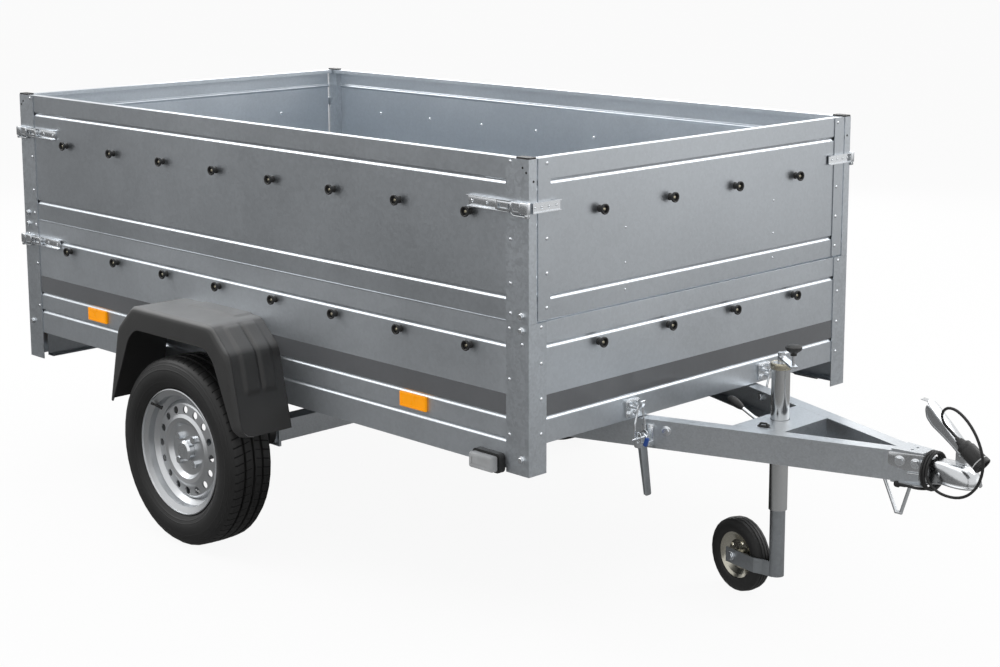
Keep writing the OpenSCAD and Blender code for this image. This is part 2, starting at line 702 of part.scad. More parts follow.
module hold_down_bails() {
    bar = drawbar_z + 6 + 35 + bail_r + seat;
    color(bright) both_sides() translate([hook_x, -hook_y, 0]) {
        for (y = [-1, 1]) translate([0, y * bail_half, drawbar_z - 44]) cylinder(r = bail_r, h = bar - drawbar_z + 44);
        rod_y(0, bar, -bail_half - bail_r, bail_half + bail_r, bail_r + 0.2);
    }
}

// Jockey wheel

tube_top = drawbar_z + 149;
tube_low = 262;
module jockey_clamp() {
    color(bright) difference() {
        union() {
            translate([jockey_x, 0, drawbar_z - 70]) cylinder(r = jockey_tube_r + 7, h = 70 - plate_t - seat);
            translate([jockey_x - 48, -14, drawbar_z - 60]) cube([40, 28, 40]);
            translate([jockey_x - 44, 14, drawbar_z - 40]) rotate([0, -60, 10]) cylinder(r = 5, h = 90);
        }
        translate([jockey_x, 0, drawbar_z - 80]) cylinder(r = jockey_tube_r + fit, h = 90);
    }
}
module jockey_clamp_grip() {
    color(black) translate([jockey_x - 44, 14, drawbar_z - 40]) rotate([0, -60, 10]) translate([0, 0, 90 + seat])
        rotate_extrude() polygon([[0, 0], [6, 0], [11, 14], [12, 28], [9, 42], [4, 48], [0, 49]]);
}
module jockey_tube() {
    color(bright) translate([jockey_x, 0, 0]) {
        difference() {
            union() {
                translate([0, 0, tube_low]) cylinder(r = jockey_tube_r, h = tube_top - tube_low - 10);
                translate([0, 0, tube_top - 16]) cylinder(r = jockey_tube_r + 2, h = 16);
            }
            translate([0, 0, tube_low - 1]) cylinder(r = jockey_leg_r + fit, h = tube_top - tube_low - 20);
        }
    }
}
crank_turn = -30;
crank_l = 85;
module jockey_crank() {
    color(bright) translate([jockey_x, 0, tube_top + seat]) rotate(crank_turn) {
        cylinder(r = 9, h = 26);
        translate([0, -9, 12]) rotate([0, 7, 0]) cube([crank_l, 18, 6]);
        translate([crank_l - 9, 0, 4]) cylinder(r = 4, h = 30);
    }
}
module jockey_knob() {
    color(black) translate([jockey_x, 0, tube_top + seat]) rotate(crank_turn) translate([crank_l - 9, 0, 34 + seat])
        rotate_extrude() polygon([[0, 0], [8, 0], [8, 8], [14, 12], [22, 20], [20, 24], [12, 28], [0, 29]]);
}
module jockey_frame() { translate([jockey_x, 0, 0]) rotate(jockey_turn) children(); }
fork_gap = 4;
leg_in = 120;                // how far the leg reaches into its tube where it is parked
leg_wall = 3;
module jockey_nut() {
    color(bright) translate([jockey_x, 0, tube_low + leg_in - 50]) difference() {
        cylinder(r = jockey_leg_r - leg_wall - fit, h = 30);
        translate([0, 0, -1]) cylinder(r = 8, h = 32);
    }
}
module jockey_leg() {
    fork_in = jockey_wheel_w / 2 + fork_gap;
    low = jockey_wheel_r - 18;
    color(bright) jockey_frame() {
        difference() {
            translate([0, 0, low]) cylinder(r = jockey_leg_r, h = tube_low - low + leg_in);
            translate([0, 0, low + 60]) cylinder(r = jockey_leg_r - leg_wall, h = tube_low + leg_in);
        }
        both_sides() translate([0, 0, jockey_wheel_r - 20]) linear_extrude(40)
            folded([[2, -jockey_leg_r + 3], [-28, -jockey_leg_r - 4], [-52, -fork_in - 5],
                    [-jockey_trail - 22, -fork_in - 5]], -5);
        rod_y(-jockey_trail, jockey_wheel_r, -fork_in - 14, fork_in + 14, 8);
    }
}
module jockey_rim() {
    half = jockey_wheel_w / 2;
    color(bright) jockey_frame() translate([-jockey_trail, 0, jockey_wheel_r]) rotate([90, 0, 0]) difference() {
        rotate_extrude() {
            polygon([[8 + fit, -half], [16, -half], [16, -8], [40, -5], [54, -14], [62, -18], [62, -14], [56, -9],
                     [56, 9], [62, 14], [62, 18], [54, 14], [40, 5], [16, 8], [16, half], [8 + fit, half]]);
        }
        for (i = [0:4]) rotate(i * 72) translate([34, 0, -20]) cylinder(r = 5, h = 40);
    }
}
module jockey_tyre() {
    half = jockey_wheel_w / 2;
    r = jockey_wheel_r;
    color(black) jockey_frame() translate([-jockey_trail, 0, r]) rotate([90, 0, 0]) rotate_extrude($fn = 72)
        difference() {
            polygon([[62.2, -18], [68, -half + 3], [80, -half], [r - 5, -half + 5], [r, -half + 14], [r, half - 14],
                     [r - 5, half - 5], [80, half], [68, half - 3], [62.2, 18]]);
            for (y = [-8, 0, 8]) translate([r - 3, y - 1]) square([5, 2]);
        }
}

// Cable: out of the nose, wound round the coupling's neck, forward and up into the plug

cable_r = 3.5;
coil_x = nose_x + seat;
coil_turns = 3;
coil_r = 46.5;
coil_w = coil_turns * (2 * cable_r + 0.4) + 2 * cable_r;
coil_z = neck_z - 2.4;       // hangs on the neck
module cable_coil() {
    color(black) translate([coil_x, 0, coil_z]) rotate([0, 90, 0]) rotate_extrude($fn = 64)
        translate([coil_r - cable_r, 0]) square([2 * cable_r, coil_w]);
}
plug_axis = [[ball_x + 6, -48, ball_z + 108], [ball_x + 74, -48, ball_z + 58]];
module plug() {
    d = plug_axis[1] - plug_axis[0];
    color(black) translate(plug_axis[0]) rotate([0, 90 - atan2(d[2], d[0]), 0]) rotate_extrude()
        polygon([[0, 0], [9, 0], [12, 18], [21, 24], [22, 30], [22, 74], [24, 75], [24, 84], [0, 84]]);
}
// Route points of the loose stretch, from the coil's near side to the back of the plug
cable_route = [[coil_x + 22, -46, neck_z - 4], [coil_x + 40, -50, neck_z - 22], [coil_x + 72, -57, neck_z - 34],
    [ball_x + 12, -64, neck_z - 33], [ball_x + 48, -70, neck_z - 18], [ball_x + 76, -75, neck_z + 12],
    [ball_x + 90, -78, neck_z + 52], [ball_x + 88, -80, neck_z + 92], [ball_x + 72, -80, neck_z + 130],
    [ball_x + 46, -78, neck_z + 161], [ball_x + 14, -74, neck_z + 180], [ball_x - 14, -69, neck_z + 180],
    [ball_x - 32, -62, neck_z + 162], [ball_x - 31, -54, neck_z + 138], [ball_x - 13, -49, neck_z + 119],
    [ball_x + 12, -48, neck_z + 101]];
// Smooth curve through the points p, n steps between two of them
function curve(p, n) = let (m = len(p) - 1) concat([for (i = [0:m - 1], k = [0:n - 1])
    let (a = p[max(i - 1, 0)], b = p[i], c = p[i + 1], d = p[min(i + 2, m)], t = k / n)
    b + t * (c - a) / 2 + t * t * (a - 2.5 * b + 2 * c - d / 2) + t * t * t * (1.5 * (b - c) + (d - a) / 2)], [p[m]]);
module tube(points, r) {
    sides = 10;
    n = len(points);
    rings = [for (i = [0:n - 1]) let (d = unit(points[min(i + 1, n - 1)] - points[max(i - 1, 0)]),
        e = unit(cross(d, [0.2, 1, 0.1])), f = cross(d, e))
        for (s = [0:sides - 1]) points[i] + r * (cos(s * 360 / sides) * e + sin(s * 360 / sides) * f)];
    polyhedron(rings, concat(
        [[for (s = [0:sides - 1]) s]],
        [for (i = [0:n - 2], s = [0:sides - 1], half = [0, 1])
            let (a = i * sides + s, b = i * sides + (s + 1) % sides)
            half == 0 ? [a, a + sides, b] : [b, a + sides, b + sides]],
        [[for (s = [sides - 1:-1:0]) (n - 1) * sides + s]]));
}
module cable() {
    color(black) tube(curve(cable_route, 3), cable_r);
}

row_frame() drawbar_arm();  // drawbar_arm_right
row_frame() left() drawbar_arm();  // drawbar_arm_left
row_frame() drawbar_cross_plate();
row_frame() drawbar_nose();
row_frame() coupling_head();
row_frame() coupling_handle();
row_frame() safety_eye();
row_frame() jockey_clamp();
row_frame() jockey_clamp_grip();
row_frame() axle_beam();
row_frame() axle_brackets();
row_frame() torsion_arms();
row_frame() rest_pads();
row_frame() hold_down_latches();
row_frame() cable();
row_frame() cable_coil();
row_frame() plug();
row_frame() floor_sheet();  // floor
row_frame() floor_beams();
row_frame() side_lower();  // side_lower_right
row_frame() left() side_lower();  // side_lower_left
row_frame() side_upper();  // side_upper_right
row_frame() left() side_upper();  // side_upper_left
row_frame() front_lower_board();
row_frame() rear_apron();
row_frame() lower_posts();
row_frame() upper_posts();
row_frame() post_caps();
row_frame() fender();  // fender_right
row_frame() left() fender();  // fender_left
row_frame() bed_knobs();
row_frame() side_reflectors();
row_frame() front_lamp_arms();
row_frame() front_lamp_lenses();
row_frame() tail_lamps();
row_frame() corner_latches();
row_frame() hold_down_hooks();
row_frame() hold_down_bails();
row_frame() flap();  // front_flap
row_frame() color(black) end_knob_row(board_x, upper_knob_z);  // front_flap_knobs
row_frame() color(bright) strap(upper_latch_z);  // front_flap_straps
row_frame() at_rear() flap();  // rear_flap
row_frame() at_rear() color(black) end_knob_row(board_x, upper_knob_z);  // rear_flap_knobs
row_frame() at_rear() color(bright) strap(upper_latch_z);  // rear_flap_straps
row_frame() tailgate();
row_frame() at_rear() color(black) end_knob_row(0, lower_knob_z);  // tailgate_knobs
row_frame() at_rear() color(bright) strap(lower_latch_z);  // tailgate_straps
row_frame() on_axle() road_tyre();  // tyre_right
row_frame() left() on_axle() road_tyre();  // tyre_left
row_frame() on_axle() road_rim();  // rim_right
row_frame() left() on_axle() road_rim();  // rim_left
row_frame() on_axle() road_hub();  // hub_right
row_frame() left() on_axle() road_hub();  // hub_left
row_frame() jockey_tube();
row_frame() jockey_crank();
row_frame() jockey_knob();
row_frame() jockey_nut();
row_frame() jockey_leg();
row_frame() jockey_tyre();
row_frame() jockey_rim();
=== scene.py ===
"""Looks of a galvanised single-axle utility trailer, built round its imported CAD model."""

import json
import math

import bmesh
import bpy
from mathutils import Matrix, Vector


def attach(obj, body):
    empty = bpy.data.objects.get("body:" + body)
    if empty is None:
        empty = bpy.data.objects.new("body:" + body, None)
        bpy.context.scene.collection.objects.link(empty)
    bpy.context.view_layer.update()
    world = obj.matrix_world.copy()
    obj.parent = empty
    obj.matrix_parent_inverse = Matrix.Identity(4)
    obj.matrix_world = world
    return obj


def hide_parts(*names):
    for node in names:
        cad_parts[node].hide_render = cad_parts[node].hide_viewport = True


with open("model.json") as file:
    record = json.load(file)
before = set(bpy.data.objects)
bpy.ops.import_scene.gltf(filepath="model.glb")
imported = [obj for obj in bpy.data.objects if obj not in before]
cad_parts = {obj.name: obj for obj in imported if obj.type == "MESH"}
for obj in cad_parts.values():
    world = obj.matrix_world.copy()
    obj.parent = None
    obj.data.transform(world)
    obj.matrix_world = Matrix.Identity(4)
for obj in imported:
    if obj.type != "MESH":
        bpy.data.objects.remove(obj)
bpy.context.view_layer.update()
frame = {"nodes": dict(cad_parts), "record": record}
scene = bpy.context.scene
scene.view_settings.view_transform = "Standard"


# Camera: low in front of the trailer's right front corner, about five metres off,
# with a little downward shift of the lens as in a product photograph.
PHOTO_WIDTH, FOCAL_PX = 1000, 1881.92
SENSOR, LENS_SHIFT, FAR_LIMIT = 36, -0.1, 400
CAMERA_PLACE = (3.81866, -3.80742, 1.80296)
VIEW_TURN, VIEW_DIP, VIEW_ROLL = (math.radians(a) for a in (45.26, 9.87, -0.14))

camera = bpy.data.objects.new("camera", bpy.data.cameras.new("camera"))
scene.collection.objects.link(camera)
scene.camera = camera
camera.data.sensor_width = SENSOR
camera.data.lens = FOCAL_PX / PHOTO_WIDTH * SENSOR
camera.data.shift_y = LENS_SHIFT
camera.data.clip_end = FAR_LIMIT
back = Vector((math.sin(VIEW_TURN) * math.cos(VIEW_DIP), -math.cos(VIEW_TURN) * math.cos(VIEW_DIP),
               math.sin(VIEW_DIP)))
level = Vector((0, 0, 1)).cross(back).normalized()
upright = back.cross(level)
sideways = math.cos(VIEW_ROLL) * level + math.sin(VIEW_ROLL) * upright
camera_turn = Matrix((sideways, back.cross(sideways), back)).transposed()
camera.matrix_world = Matrix.Translation(CAMERA_PLACE) @ camera_turn.to_4x4()


# Studio: a pale seamless floor under a white sky, with soft boxes behind the trailer and beside it, a weak one low
# in front and a wide one over it. Metal sees the same white sky that the camera does; in metal the floor shows a
# painted reflection, brighter towards the front left, with a painted shadow under the bed.
SKY_LIGHT = 0.45
LAMP_TARGET = Vector((-0.3, 0, 0.7))
SOFT_BOXES = {  # place, width and height, radiance
    "rear_left_box": ((-4.6, 4.6, 1.9), (4.5, 2.0), 3.2),
    "rear_right_box": ((-4.4, -2.4, 4.2), (3.0, 2.0), 4.5),
    "front_left_box": ((2.6, 4.4, 4.2), (3.0, 2.0), 4.5),
    "front_low_box": ((4.4, 4.2, 0.9), (3.0, 1.8), 0.55),
    "over_box": ((-0.3, 0, 5.2), (7.0, 6.0), 1.05),
}
PAPER_SIZE, PAPER_DROP, PAPER_TONE, PAPER_WHITE = 300, 0.0005, 0.9, 0.93
MIRROR_SIDE, MIRROR_FRONT, MIRROR_SHADED = 0.18, 0.19, 0.9
UNDER_BED = {"X": (-0.45, 2.6, 2.0), "Y": (0.0, 2.2, 2.4)}  # middle, reach and fall of the shade below


class Shade:
    """A socket of a material's node tree. Arithmetic on it adds Math nodes."""

    def __init__(self, tree, socket=None):
        self.tree = tree
        self.socket = socket

    def node(self, kind, settings=None, **sockets):
        """A new node of this tree: settings first, then the values or links of its sockets."""
        made = self.tree.nodes.new(kind)
        for name, value in (settings or {}).items():
            setattr(made, name, value)
        for name, value in sockets.items():
            numbered = name[0] == "i" and name[1:].isdigit()
            target = made.inputs[int(name[1:]) if numbered else name.replace("_", " ")]
            if isinstance(value, Shade):
                self.tree.links.new(value.socket, target)
            elif hasattr(target.default_value, "__len__") and len(target.default_value) == 4 and len(value) == 3:
                target.default_value = (*value, 1)
            else:
                target.default_value = value
        return made

    def out(self, made, name=0):
        """An output of a node, by its name or number."""
        return Shade(self.tree, made.outputs[name])

    def math(self, operation, a, b=0.0):
        """A Math node on two values."""
        return self.out(self.node("ShaderNodeMath", {"operation": operation}, i0=a, i1=b))

    def __add__(self, other):
        return self.math("ADD", self, other)

    def __radd__(self, other):
        return self.math("ADD", other, self)

    def __sub__(self, other):
        return self.math("SUBTRACT", self, other)

    def __rsub__(self, other):
        return self.math("SUBTRACT", other, self)

    def __mul__(self, other):
        return self.math("MULTIPLY", self, other)

    def __rmul__(self, other):
        return self.math("MULTIPLY", other, self)

    def __gt__(self, other):
        return self.math("GREATER_THAN", self, other)

    def __lt__(self, other):
        return self.math("LESS_THAN", self, other)

    def noise(self, scale, detail):
        """Noise of this scale on these coordinates."""
        return self.out(self.node("ShaderNodeTexNoise", Vector=self, Scale=scale, Detail=detail))

    def bump(self, height, strength, depth):
        """A normal that shows this height as relief."""
        return self.out(self.node("ShaderNodeBump", Strength=strength, Distance=depth, Height=height))

    def clamp(self):
        """This value, held between 0 and 1."""
        return self.out(self.node("ShaderNodeMath", {"operation": "ADD", "use_clamp": True}, i0=self, i1=0.0))

    def mix(self, low, high):
        """Colour low where this value is 0, high where it is 1."""
        return self.out(self.node("ShaderNodeMix", {"data_type": "RGBA"}, i0=self, i6=low, i7=high), 2)


def grey(value):
    """A neutral colour."""
    return (value, value, value)


world = bpy.data.worlds.new("studio")
scene.world = world
world.use_nodes = True
world.node_tree.nodes.clear()
sky = Shade(world.node_tree)
sky_ray = sky.node("ShaderNodeLightPath")
sky_seen = sky.out(sky_ray, "Is Camera Ray") + sky.out(sky_ray, "Is Glossy Ray")
sky_seen = (sky_seen + sky.out(sky_ray, "Is Transmission Ray")).clamp()
light = sky.node("ShaderNodeBackground", Color=grey(1.0), Strength=sky_seen * (1 - SKY_LIGHT) + SKY_LIGHT)
sky.node("ShaderNodeOutputWorld", Surface=sky.out(light))


def lamp(name, place, size, radiance):
    """A soft box of this size at this place, turned to the bed's middle."""
    data = bpy.data.lights.new(name, "AREA")
    data.shape = "RECTANGLE"
    data.size, data.size_y = size
    data.energy = radiance * math.pi * size[0] * size[1]
    made = bpy.data.objects.new(name, data)
    made.visible_camera = False
    scene.collection.objects.link(made)
    direction = LAMP_TARGET - Vector(place)
    made.matrix_world = Matrix.Translation(place) @ direction.to_track_quat("-Z", "Y").to_matrix().to_4x4()


for box_name, soft_box in SOFT_BOXES.items():
    lamp(box_name, *soft_box)

bpy.ops.object.select_all(action="DESELECT")
bpy.ops.mesh.primitive_plane_add(size=PAPER_SIZE, location=(0, 0, -PAPER_DROP))
floor = bpy.context.object
floor.name = "studio_floor"
paper = bpy.data.materials.new("studio_paper")
paper.use_nodes = True
paper.node_tree.nodes.clear()
mat = Shade(paper.node_tree)
paper_ray = mat.node("ShaderNodeLightPath")
by_camera, by_metal = mat.out(paper_ray, "Is Camera Ray"), mat.out(paper_ray, "Is Glossy Ray")
spot = mat.node("ShaderNodeSeparateXYZ", Vector=mat.out(mat.node("ShaderNodeTexCoord"), "Object"))
forward = ((mat.out(spot, "X") + mat.out(spot, "Y")) * 0.2 + 0.5).clamp()
shaded = 1.0
for axis, (middle, reach, fall) in UNDER_BED.items():
    shaded = shaded * (reach - fall * mat.math("ABSOLUTE", mat.out(spot, axis) - middle)).clamp()
# Seen in metal, the floor glows brighter towards the front left and darker under the bed: painted light and painted
# shadow.
mirror = by_metal * (forward * MIRROR_FRONT + MIRROR_SIDE) * (1.0 - MIRROR_SHADED * shaded)
white = mat.node("ShaderNodeEmission", Color=grey(1.0), Strength=by_camera + mirror)
pale = mat.node("ShaderNodeBsdfDiffuse", Color=grey(PAPER_TONE))
both = mat.node("ShaderNodeMixShader", i0=by_camera * PAPER_WHITE + by_metal, i1=mat.out(pale), i2=mat.out(white))
mat.node("ShaderNodeOutputMaterial", Surface=mat.out(both))
floor.data.materials.append(paper)


# Lighting cable: a black rubber lead of 7 mm that comes from under the nose, is wound round the coupling's
# neck for storage, runs forward under the head and back up into the moulded plug that hangs on the handle.
MILLIMETRES = Matrix.Translation((0.735, 0, 0)) @ Matrix.Scale(0.001, 4)  # x counts from the bed's front face
CABLE_D, GLAND_X, LEAD_Z, LEAD_BEND, LEAD_FALL = 7.0, 660, 420.2, 30, 2.4
COIL_X, COIL_Z, COIL_R = 708.8, 463.1, 46.5
COIL_PITCH, COIL_TURNS, COIL_STEPS = 7.4, 2.75, 24
PLUG_BACK, PLUG_TIP = Vector((814, -48, 568)), Vector((882, -48, 518))


def finish(name, **constants):
    """A new material with its shader: returns it, the shader node and the object coordinates."""
    made = bpy.data.materials.new(name)
    made.use_nodes = True
    shader = made.node_tree.nodes["Principled BSDF"]
    for socket, value in constants.items():
        target = shader.inputs[socket.replace("_", " ")]
        target.default_value = (*value, 1) if hasattr(value, "__len__") and len(value) == 3 else value
    blank = Shade(made.node_tree)
    place = blank.out(blank.node("ShaderNodeTexCoord"), "Object")
    return made, shader, place


def feed(shader, name, value):
    """Links a value that varies over the surface to an input of the shader."""
    value.tree.links.new(value.socket, shader.inputs[name])


def tinted(tone, amount):
    """Colour tone times an amount that varies round 1."""
    return (amount * 0.5).clamp().mix(grey(0), tuple(2 * t for t in tone))


def moulded(name, tone, rough, grain, coat=0.0, relief=0.25, painted_top_light=0.0):
    """Moulded plastic or rubber: a fine grain, a cloudy change of tone and gloss, and if asked, faces that look up
    painted lighter as a painted highlight.
    """
    made, shader, place = finish(name, Coat_Weight=coat)
    fine = place.noise(grain, 3.0)
    cloud = place.noise(9.0, 3.0)
    amount = fine * 0.3 + cloud * 0.5 + 0.6
    if painted_top_light:
        # Faces that look up are painted lighter: a painted highlight of the light from above.
        tone = tuple((1 + painted_top_light) * t for t in tone)
        facing = place.node("ShaderNodeSeparateXYZ", Vector=place.out(place.node("ShaderNodeTexCoord"), "Normal"))
        upward = (place.out(facing, "Z") * 2.0 - 0.9).clamp()
        amount = amount * (upward * painted_top_light + 1.0) * (1 / (1 + painted_top_light))
    feed(shader, "Base Color", tinted(tone, amount))
    feed(shader, "Roughness", (cloud * 0.14 + (rough - 0.07)).clamp())
    feed(shader, "Normal", place.bump(fine, relief, 0.0004))
    return made


def start(adder, **settings):
    """A new primitive in edit mode, with everything else deselected."""
    bpy.ops.object.select_all(action="DESELECT")
    adder(**settings)
    bpy.ops.object.mode_set(mode="EDIT")
    bpy.ops.mesh.select_mode(type="VERT")
    return bpy.context.object


def leave(piece, closed=True):
    """Merges doubles, turns the faces outwards and goes back to object mode."""
    bpy.ops.mesh.select_all(action="SELECT")
    bpy.ops.mesh.remove_doubles(threshold=0.0005)
    if closed:
        bpy.ops.mesh.normals_make_consistent(inside=False)
    bpy.ops.object.mode_set(mode="OBJECT")
    return piece


def turned(outline, steps):
    """A piece turned on a lathe: an outline of (radius, height) points spun round Z."""
    piece = start(bpy.ops.mesh.primitive_plane_add, size=1)
    bpy.ops.mesh.merge(type="CENTER")
    bpy.ops.transform.translate(value=(outline[0][0], 0, outline[0][1]))
    for (r0, h0), (r1, h1) in zip(outline, outline[1:]):
        bpy.ops.mesh.extrude_vertices_move(TRANSFORM_OT_translate={"value": (r1 - r0, 0, h1 - h0)})
    bpy.ops.mesh.select_all(action="SELECT")
    bpy.ops.mesh.spin(steps=steps, angle=math.tau, center=(0, 0, 0), axis=(0, 0, 1))
    return leave(piece)


def put(x=0.0, y=0.0, z=0.0, rx=0.0, ry=0.0, rz=0.0):
    """A place and a turn in degrees: about X, then Y, then Z."""
    turn = Matrix.Rotation(math.radians(rz), 4, "Z") @ Matrix.Rotation(math.radians(ry), 4, "Y") \
        @ Matrix.Rotation(math.radians(rx), 4, "X")
    return Matrix.Translation((x, y, z)) @ turn


def moved(piece, place):
    """Moves a piece's mesh to a place, and its object stays at the origin."""
    piece.data.transform(place)
    return piece


def alone(piece):
    """Makes a piece the only selected one, and active."""
    bpy.ops.object.select_all(action="DESELECT")
    piece.select_set(True)
    bpy.context.view_layer.objects.active = piece
    return piece


def joined(*pieces):
    """Several pieces as one mesh."""
    alone(pieces[0])
    for piece in pieces:
        piece.select_set(True)
    bpy.ops.object.join()
    return pieces[0]


def done(name, piece, material, body, slot, *replaced, crease=35):
    """Names a piece modelled in millimetres, brings it to metres, dresses it and fixes it to its body."""
    alone(piece)
    piece.name = piece.data.name = name
    piece.data.transform(MILLIMETRES)
    piece.data.materials.clear()
    piece.data.materials.append(material)
    bpy.ops.object.shade_smooth_by_angle(angle=math.radians(crease))
    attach(piece, body)
    if replaced:
        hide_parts(*replaced)
    return piece


def through(points, steps):
    """A smooth curve through the points."""
    made, last = [], len(points) - 1
    for i in range(last):
        a, b, c, d = (Vector(points[min(max(j, 0), last)]) for j in (i - 1, i, i + 1, i + 2))
        for t in (k / steps for k in range(steps)):
            made.append(b + t * (c - a) / 2 + t * t * (a - 2.5 * b + 2 * c - d / 2)
                        + t ** 3 * (1.5 * (b - c) + (d - a) / 2))
    return made + [Vector(points[-1])]


def line_object(name, points, radius, closed=False):
    """A round bar or lead along the points, as a curve."""
    data = bpy.data.curves.new(name, "CURVE")
    data.dimensions = "3D"
    data.bevel_depth = radius
    data.bevel_resolution = 3
    data.use_fill_caps = True
    line = data.splines.new("POLY")
    line.points.add(len(points) - 1)
    line.use_cyclic_u = closed
    for knot, place in zip(line.points, points):
        knot.co = (*place, 1)
    made = bpy.data.objects.new(name, data)
    scene.collection.objects.link(made)
    return made


black_rubber = moulded("black_rubber", grey(0.016), 0.62, 700)
black_plastic = moulded("black_plastic", grey(0.020), 0.48, 900)

plug_outline = [(0, -8), (4.6, -8), (6.2, -1), (9, 1), (12, 12), (17, 16), (18.2, 19), (18.2, 27), (20.4, 29),
                (21, 32), (21.6, 68), (21.2, 69.4), (21.2, 73.4), (22.6, 74.6), (22.8, 82.6), (21.6, 84.2),
                (18.5, 84.2), (17.5, 79), (0, 79)]
plug_aim = (PLUG_TIP - PLUG_BACK).to_track_quat("Z", "Y").to_matrix().to_4x4()
plug = moved(turned(plug_outline, 32), Matrix.Translation(PLUG_BACK) @ plug_aim)
plug = done("lighting_plug", plug, black_plastic, "chassis", "black_plastic", "plug")
plug_ring = turned([(21.2, 70), (22.4, 70.4), (22.4, 72.6), (21.2, 73), (21.2, 70)], 28)
pale_plastic = moulded("pale_plastic", (0.62, 0.63, 0.63), 0.4, 900)
moved(plug_ring, Matrix.Translation(PLUG_BACK) @ plug_aim)
plug_ring = done("plug_ring", plug_ring, pale_plastic, "chassis", "white_plastic")

lead_in = [(GLAND_X, -LEAD_BEND, LEAD_Z)]
for angle in (k * math.pi / 12 for k in range(6)):
    lead_in.append((COIL_X - LEAD_BEND + LEAD_BEND * math.sin(angle), -LEAD_BEND * math.cos(angle),
                    LEAD_Z - LEAD_FALL * angle))
winding = []
for k in range(int(COIL_TURNS * COIL_STEPS) + 1):
    angle = 1.5 * math.pi + k * math.tau / COIL_STEPS
    winding.append((COIL_X + COIL_PITCH * k / COIL_STEPS, COIL_R * math.cos(angle),
                    COIL_Z + COIL_R * math.sin(angle)))
loose = [winding[-1], (745, -50, 443.5), (777, -57, 431.5), (820, -64, 432.5), (856, -70, 447.5), (884, -75, 477.5),
         (898, -78, 517.5), (896, -80, 557.5), (880, -80, 595.5), (854, -78, 626.5), (822, -74, 645.5),
         (794, -69, 645.5), (776, -62, 627.5), (777, -54, 603.5), (795, -49, 584.5),
         PLUG_BACK + 0.1 * (PLUG_TIP - PLUG_BACK)]
cable_path = [Vector(p) for p in lead_in + winding[:-1]] + through(loose, 3)
cable = line_object("lighting_cable", [MILLIMETRES @ p for p in cable_path], CABLE_D / 2000)
cable.data.materials.append(black_rubber)
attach(cable, "chassis")
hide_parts("cable", "cable_coil")
cable_length = sum((b - a).length for a, b in zip(cable_path, cable_path[1:])) / 1000
tuple(MILLIMETRES @ cable_path[0])

gland = turned([(0, -26), (8, -26), (9, -24), (9, -16), (6, -14), (4.6, 2), (3.9, 4), (0, 4)], 20)
moved(gland, put(GLAND_X, -LEAD_BEND, LEAD_Z, ry=90))
done("cable_gland", gland, black_rubber, "chassis", "black_rubber")


# Sheet and steel: boards and posts are folded from hot-dip galvanised sheet, the drawbar and axle from thicker
# galvanised steel, and the small fittings are bright zinc-plated. CAD solids take these finishes as they are.
GROOVE_D, GROOVE_SOFT = 0.005, 1.1
INNER_RISE, INNER_PAINTED_LIGHT = 1600.0, 0.15
SHEET_TONE, SHEET_SPANGLE, SHEET_CONTRAST = (0.58, 0.615, 0.65), 130, 0.06
PRISMS_PER_METRE = 240.0


def galvanised(name, tone, rough, spangle, contrast, relief=0.05, face=None):
    """Zinc-coated steel: crystals of slightly different grey, cloudy bloom, fine grain, soft gloss.

    A board that is pressed with grooves gives its face, as an axis and a place on it: the grooves' edges are
    rounded off there, and its grooves and inner side are painted lighter, as painted light."""
    made, shader, place = finish(name, Metallic=1.0)
    cells = place.node("ShaderNodeTexVoronoi", Vector=place, Scale=spangle)
    crystal = place.out(place.node("ShaderNodeSeparateColor", Color=place.out(cells, "Color")), 0)
    cloud = place.noise(2.3, 5.0)
    fine = place.noise(160.0, 2.0)
    amount = crystal * contrast + cloud * 0.22 + fine * 0.05 + (0.865 - contrast / 2)
    feed(shader, "Roughness", (crystal * contrast * 0.6 + cloud * 0.14 + (rough - 0.08)).clamp())
    height = (fine + crystal) * relief
    if face:
        axis, front = face
        split = place.node("ShaderNodeSeparateXYZ", Vector=place)
        depth = abs(front) - place.math("ABSOLUTE", place.out(split, axis))
        across_groove = (depth * (1 / GROOVE_D)).clamp() * 2.0 - 1.0
        height = height + across_groove * across_groove * across_groove * GROOVE_SOFT
        # Deeper than the face, the grooves and the inner side are painted lighter: painted light.
        amount = amount + (depth * INNER_RISE - 1.0).clamp() * INNER_PAINTED_LIGHT
    feed(shader, "Base Color", tinted(tone, amount))
    feed(shader, "Normal", place.bump(height, 1.0, 0.001))
    return made


def prismatic(name, tone, painted_glow):
    """Clear plastic over a field of small pyramids, as in a lamp's lens or a reflector, which throws light back; an
    emission makes it glow a little, as painted light.
    """
    made, shader, place = finish(name, Specular_IOR_Level=0.2, Emission_Color=tone, Emission_Strength=painted_glow)
    split = place.node("ShaderNodeSeparateXYZ", Vector=place)
    level = (place.out(split, "X") + place.out(split, "Y")) * PRISMS_PER_METRE
    height = place.out(split, "Z") * PRISMS_PER_METRE
    facets = place.math("PINGPONG", level + height, 0.5) + place.math("PINGPONG", level - height, 0.5)
    cloud = place.noise(30.0, 2.0)
    # The pyramids' relief is painted into the colour too: lighter on ridges, darker in hollows, as painted light and
    # shade.
    feed(shader, "Base Color", tinted(tone, facets * 0.35 + cloud * 0.3 + 0.6))
    feed(shader, "Roughness", (cloud * 0.15 + 0.22).clamp())
    feed(shader, "Normal", place.bump(facets, 0.35, 0.001))
    return made


def dress(material, *names):
    """Gives CAD nodes a finish, and leaves their meshes as they are."""
    for name in names:
        node = frame["nodes"][name]
        node.data.materials.clear()
        node.data.materials.append(material)


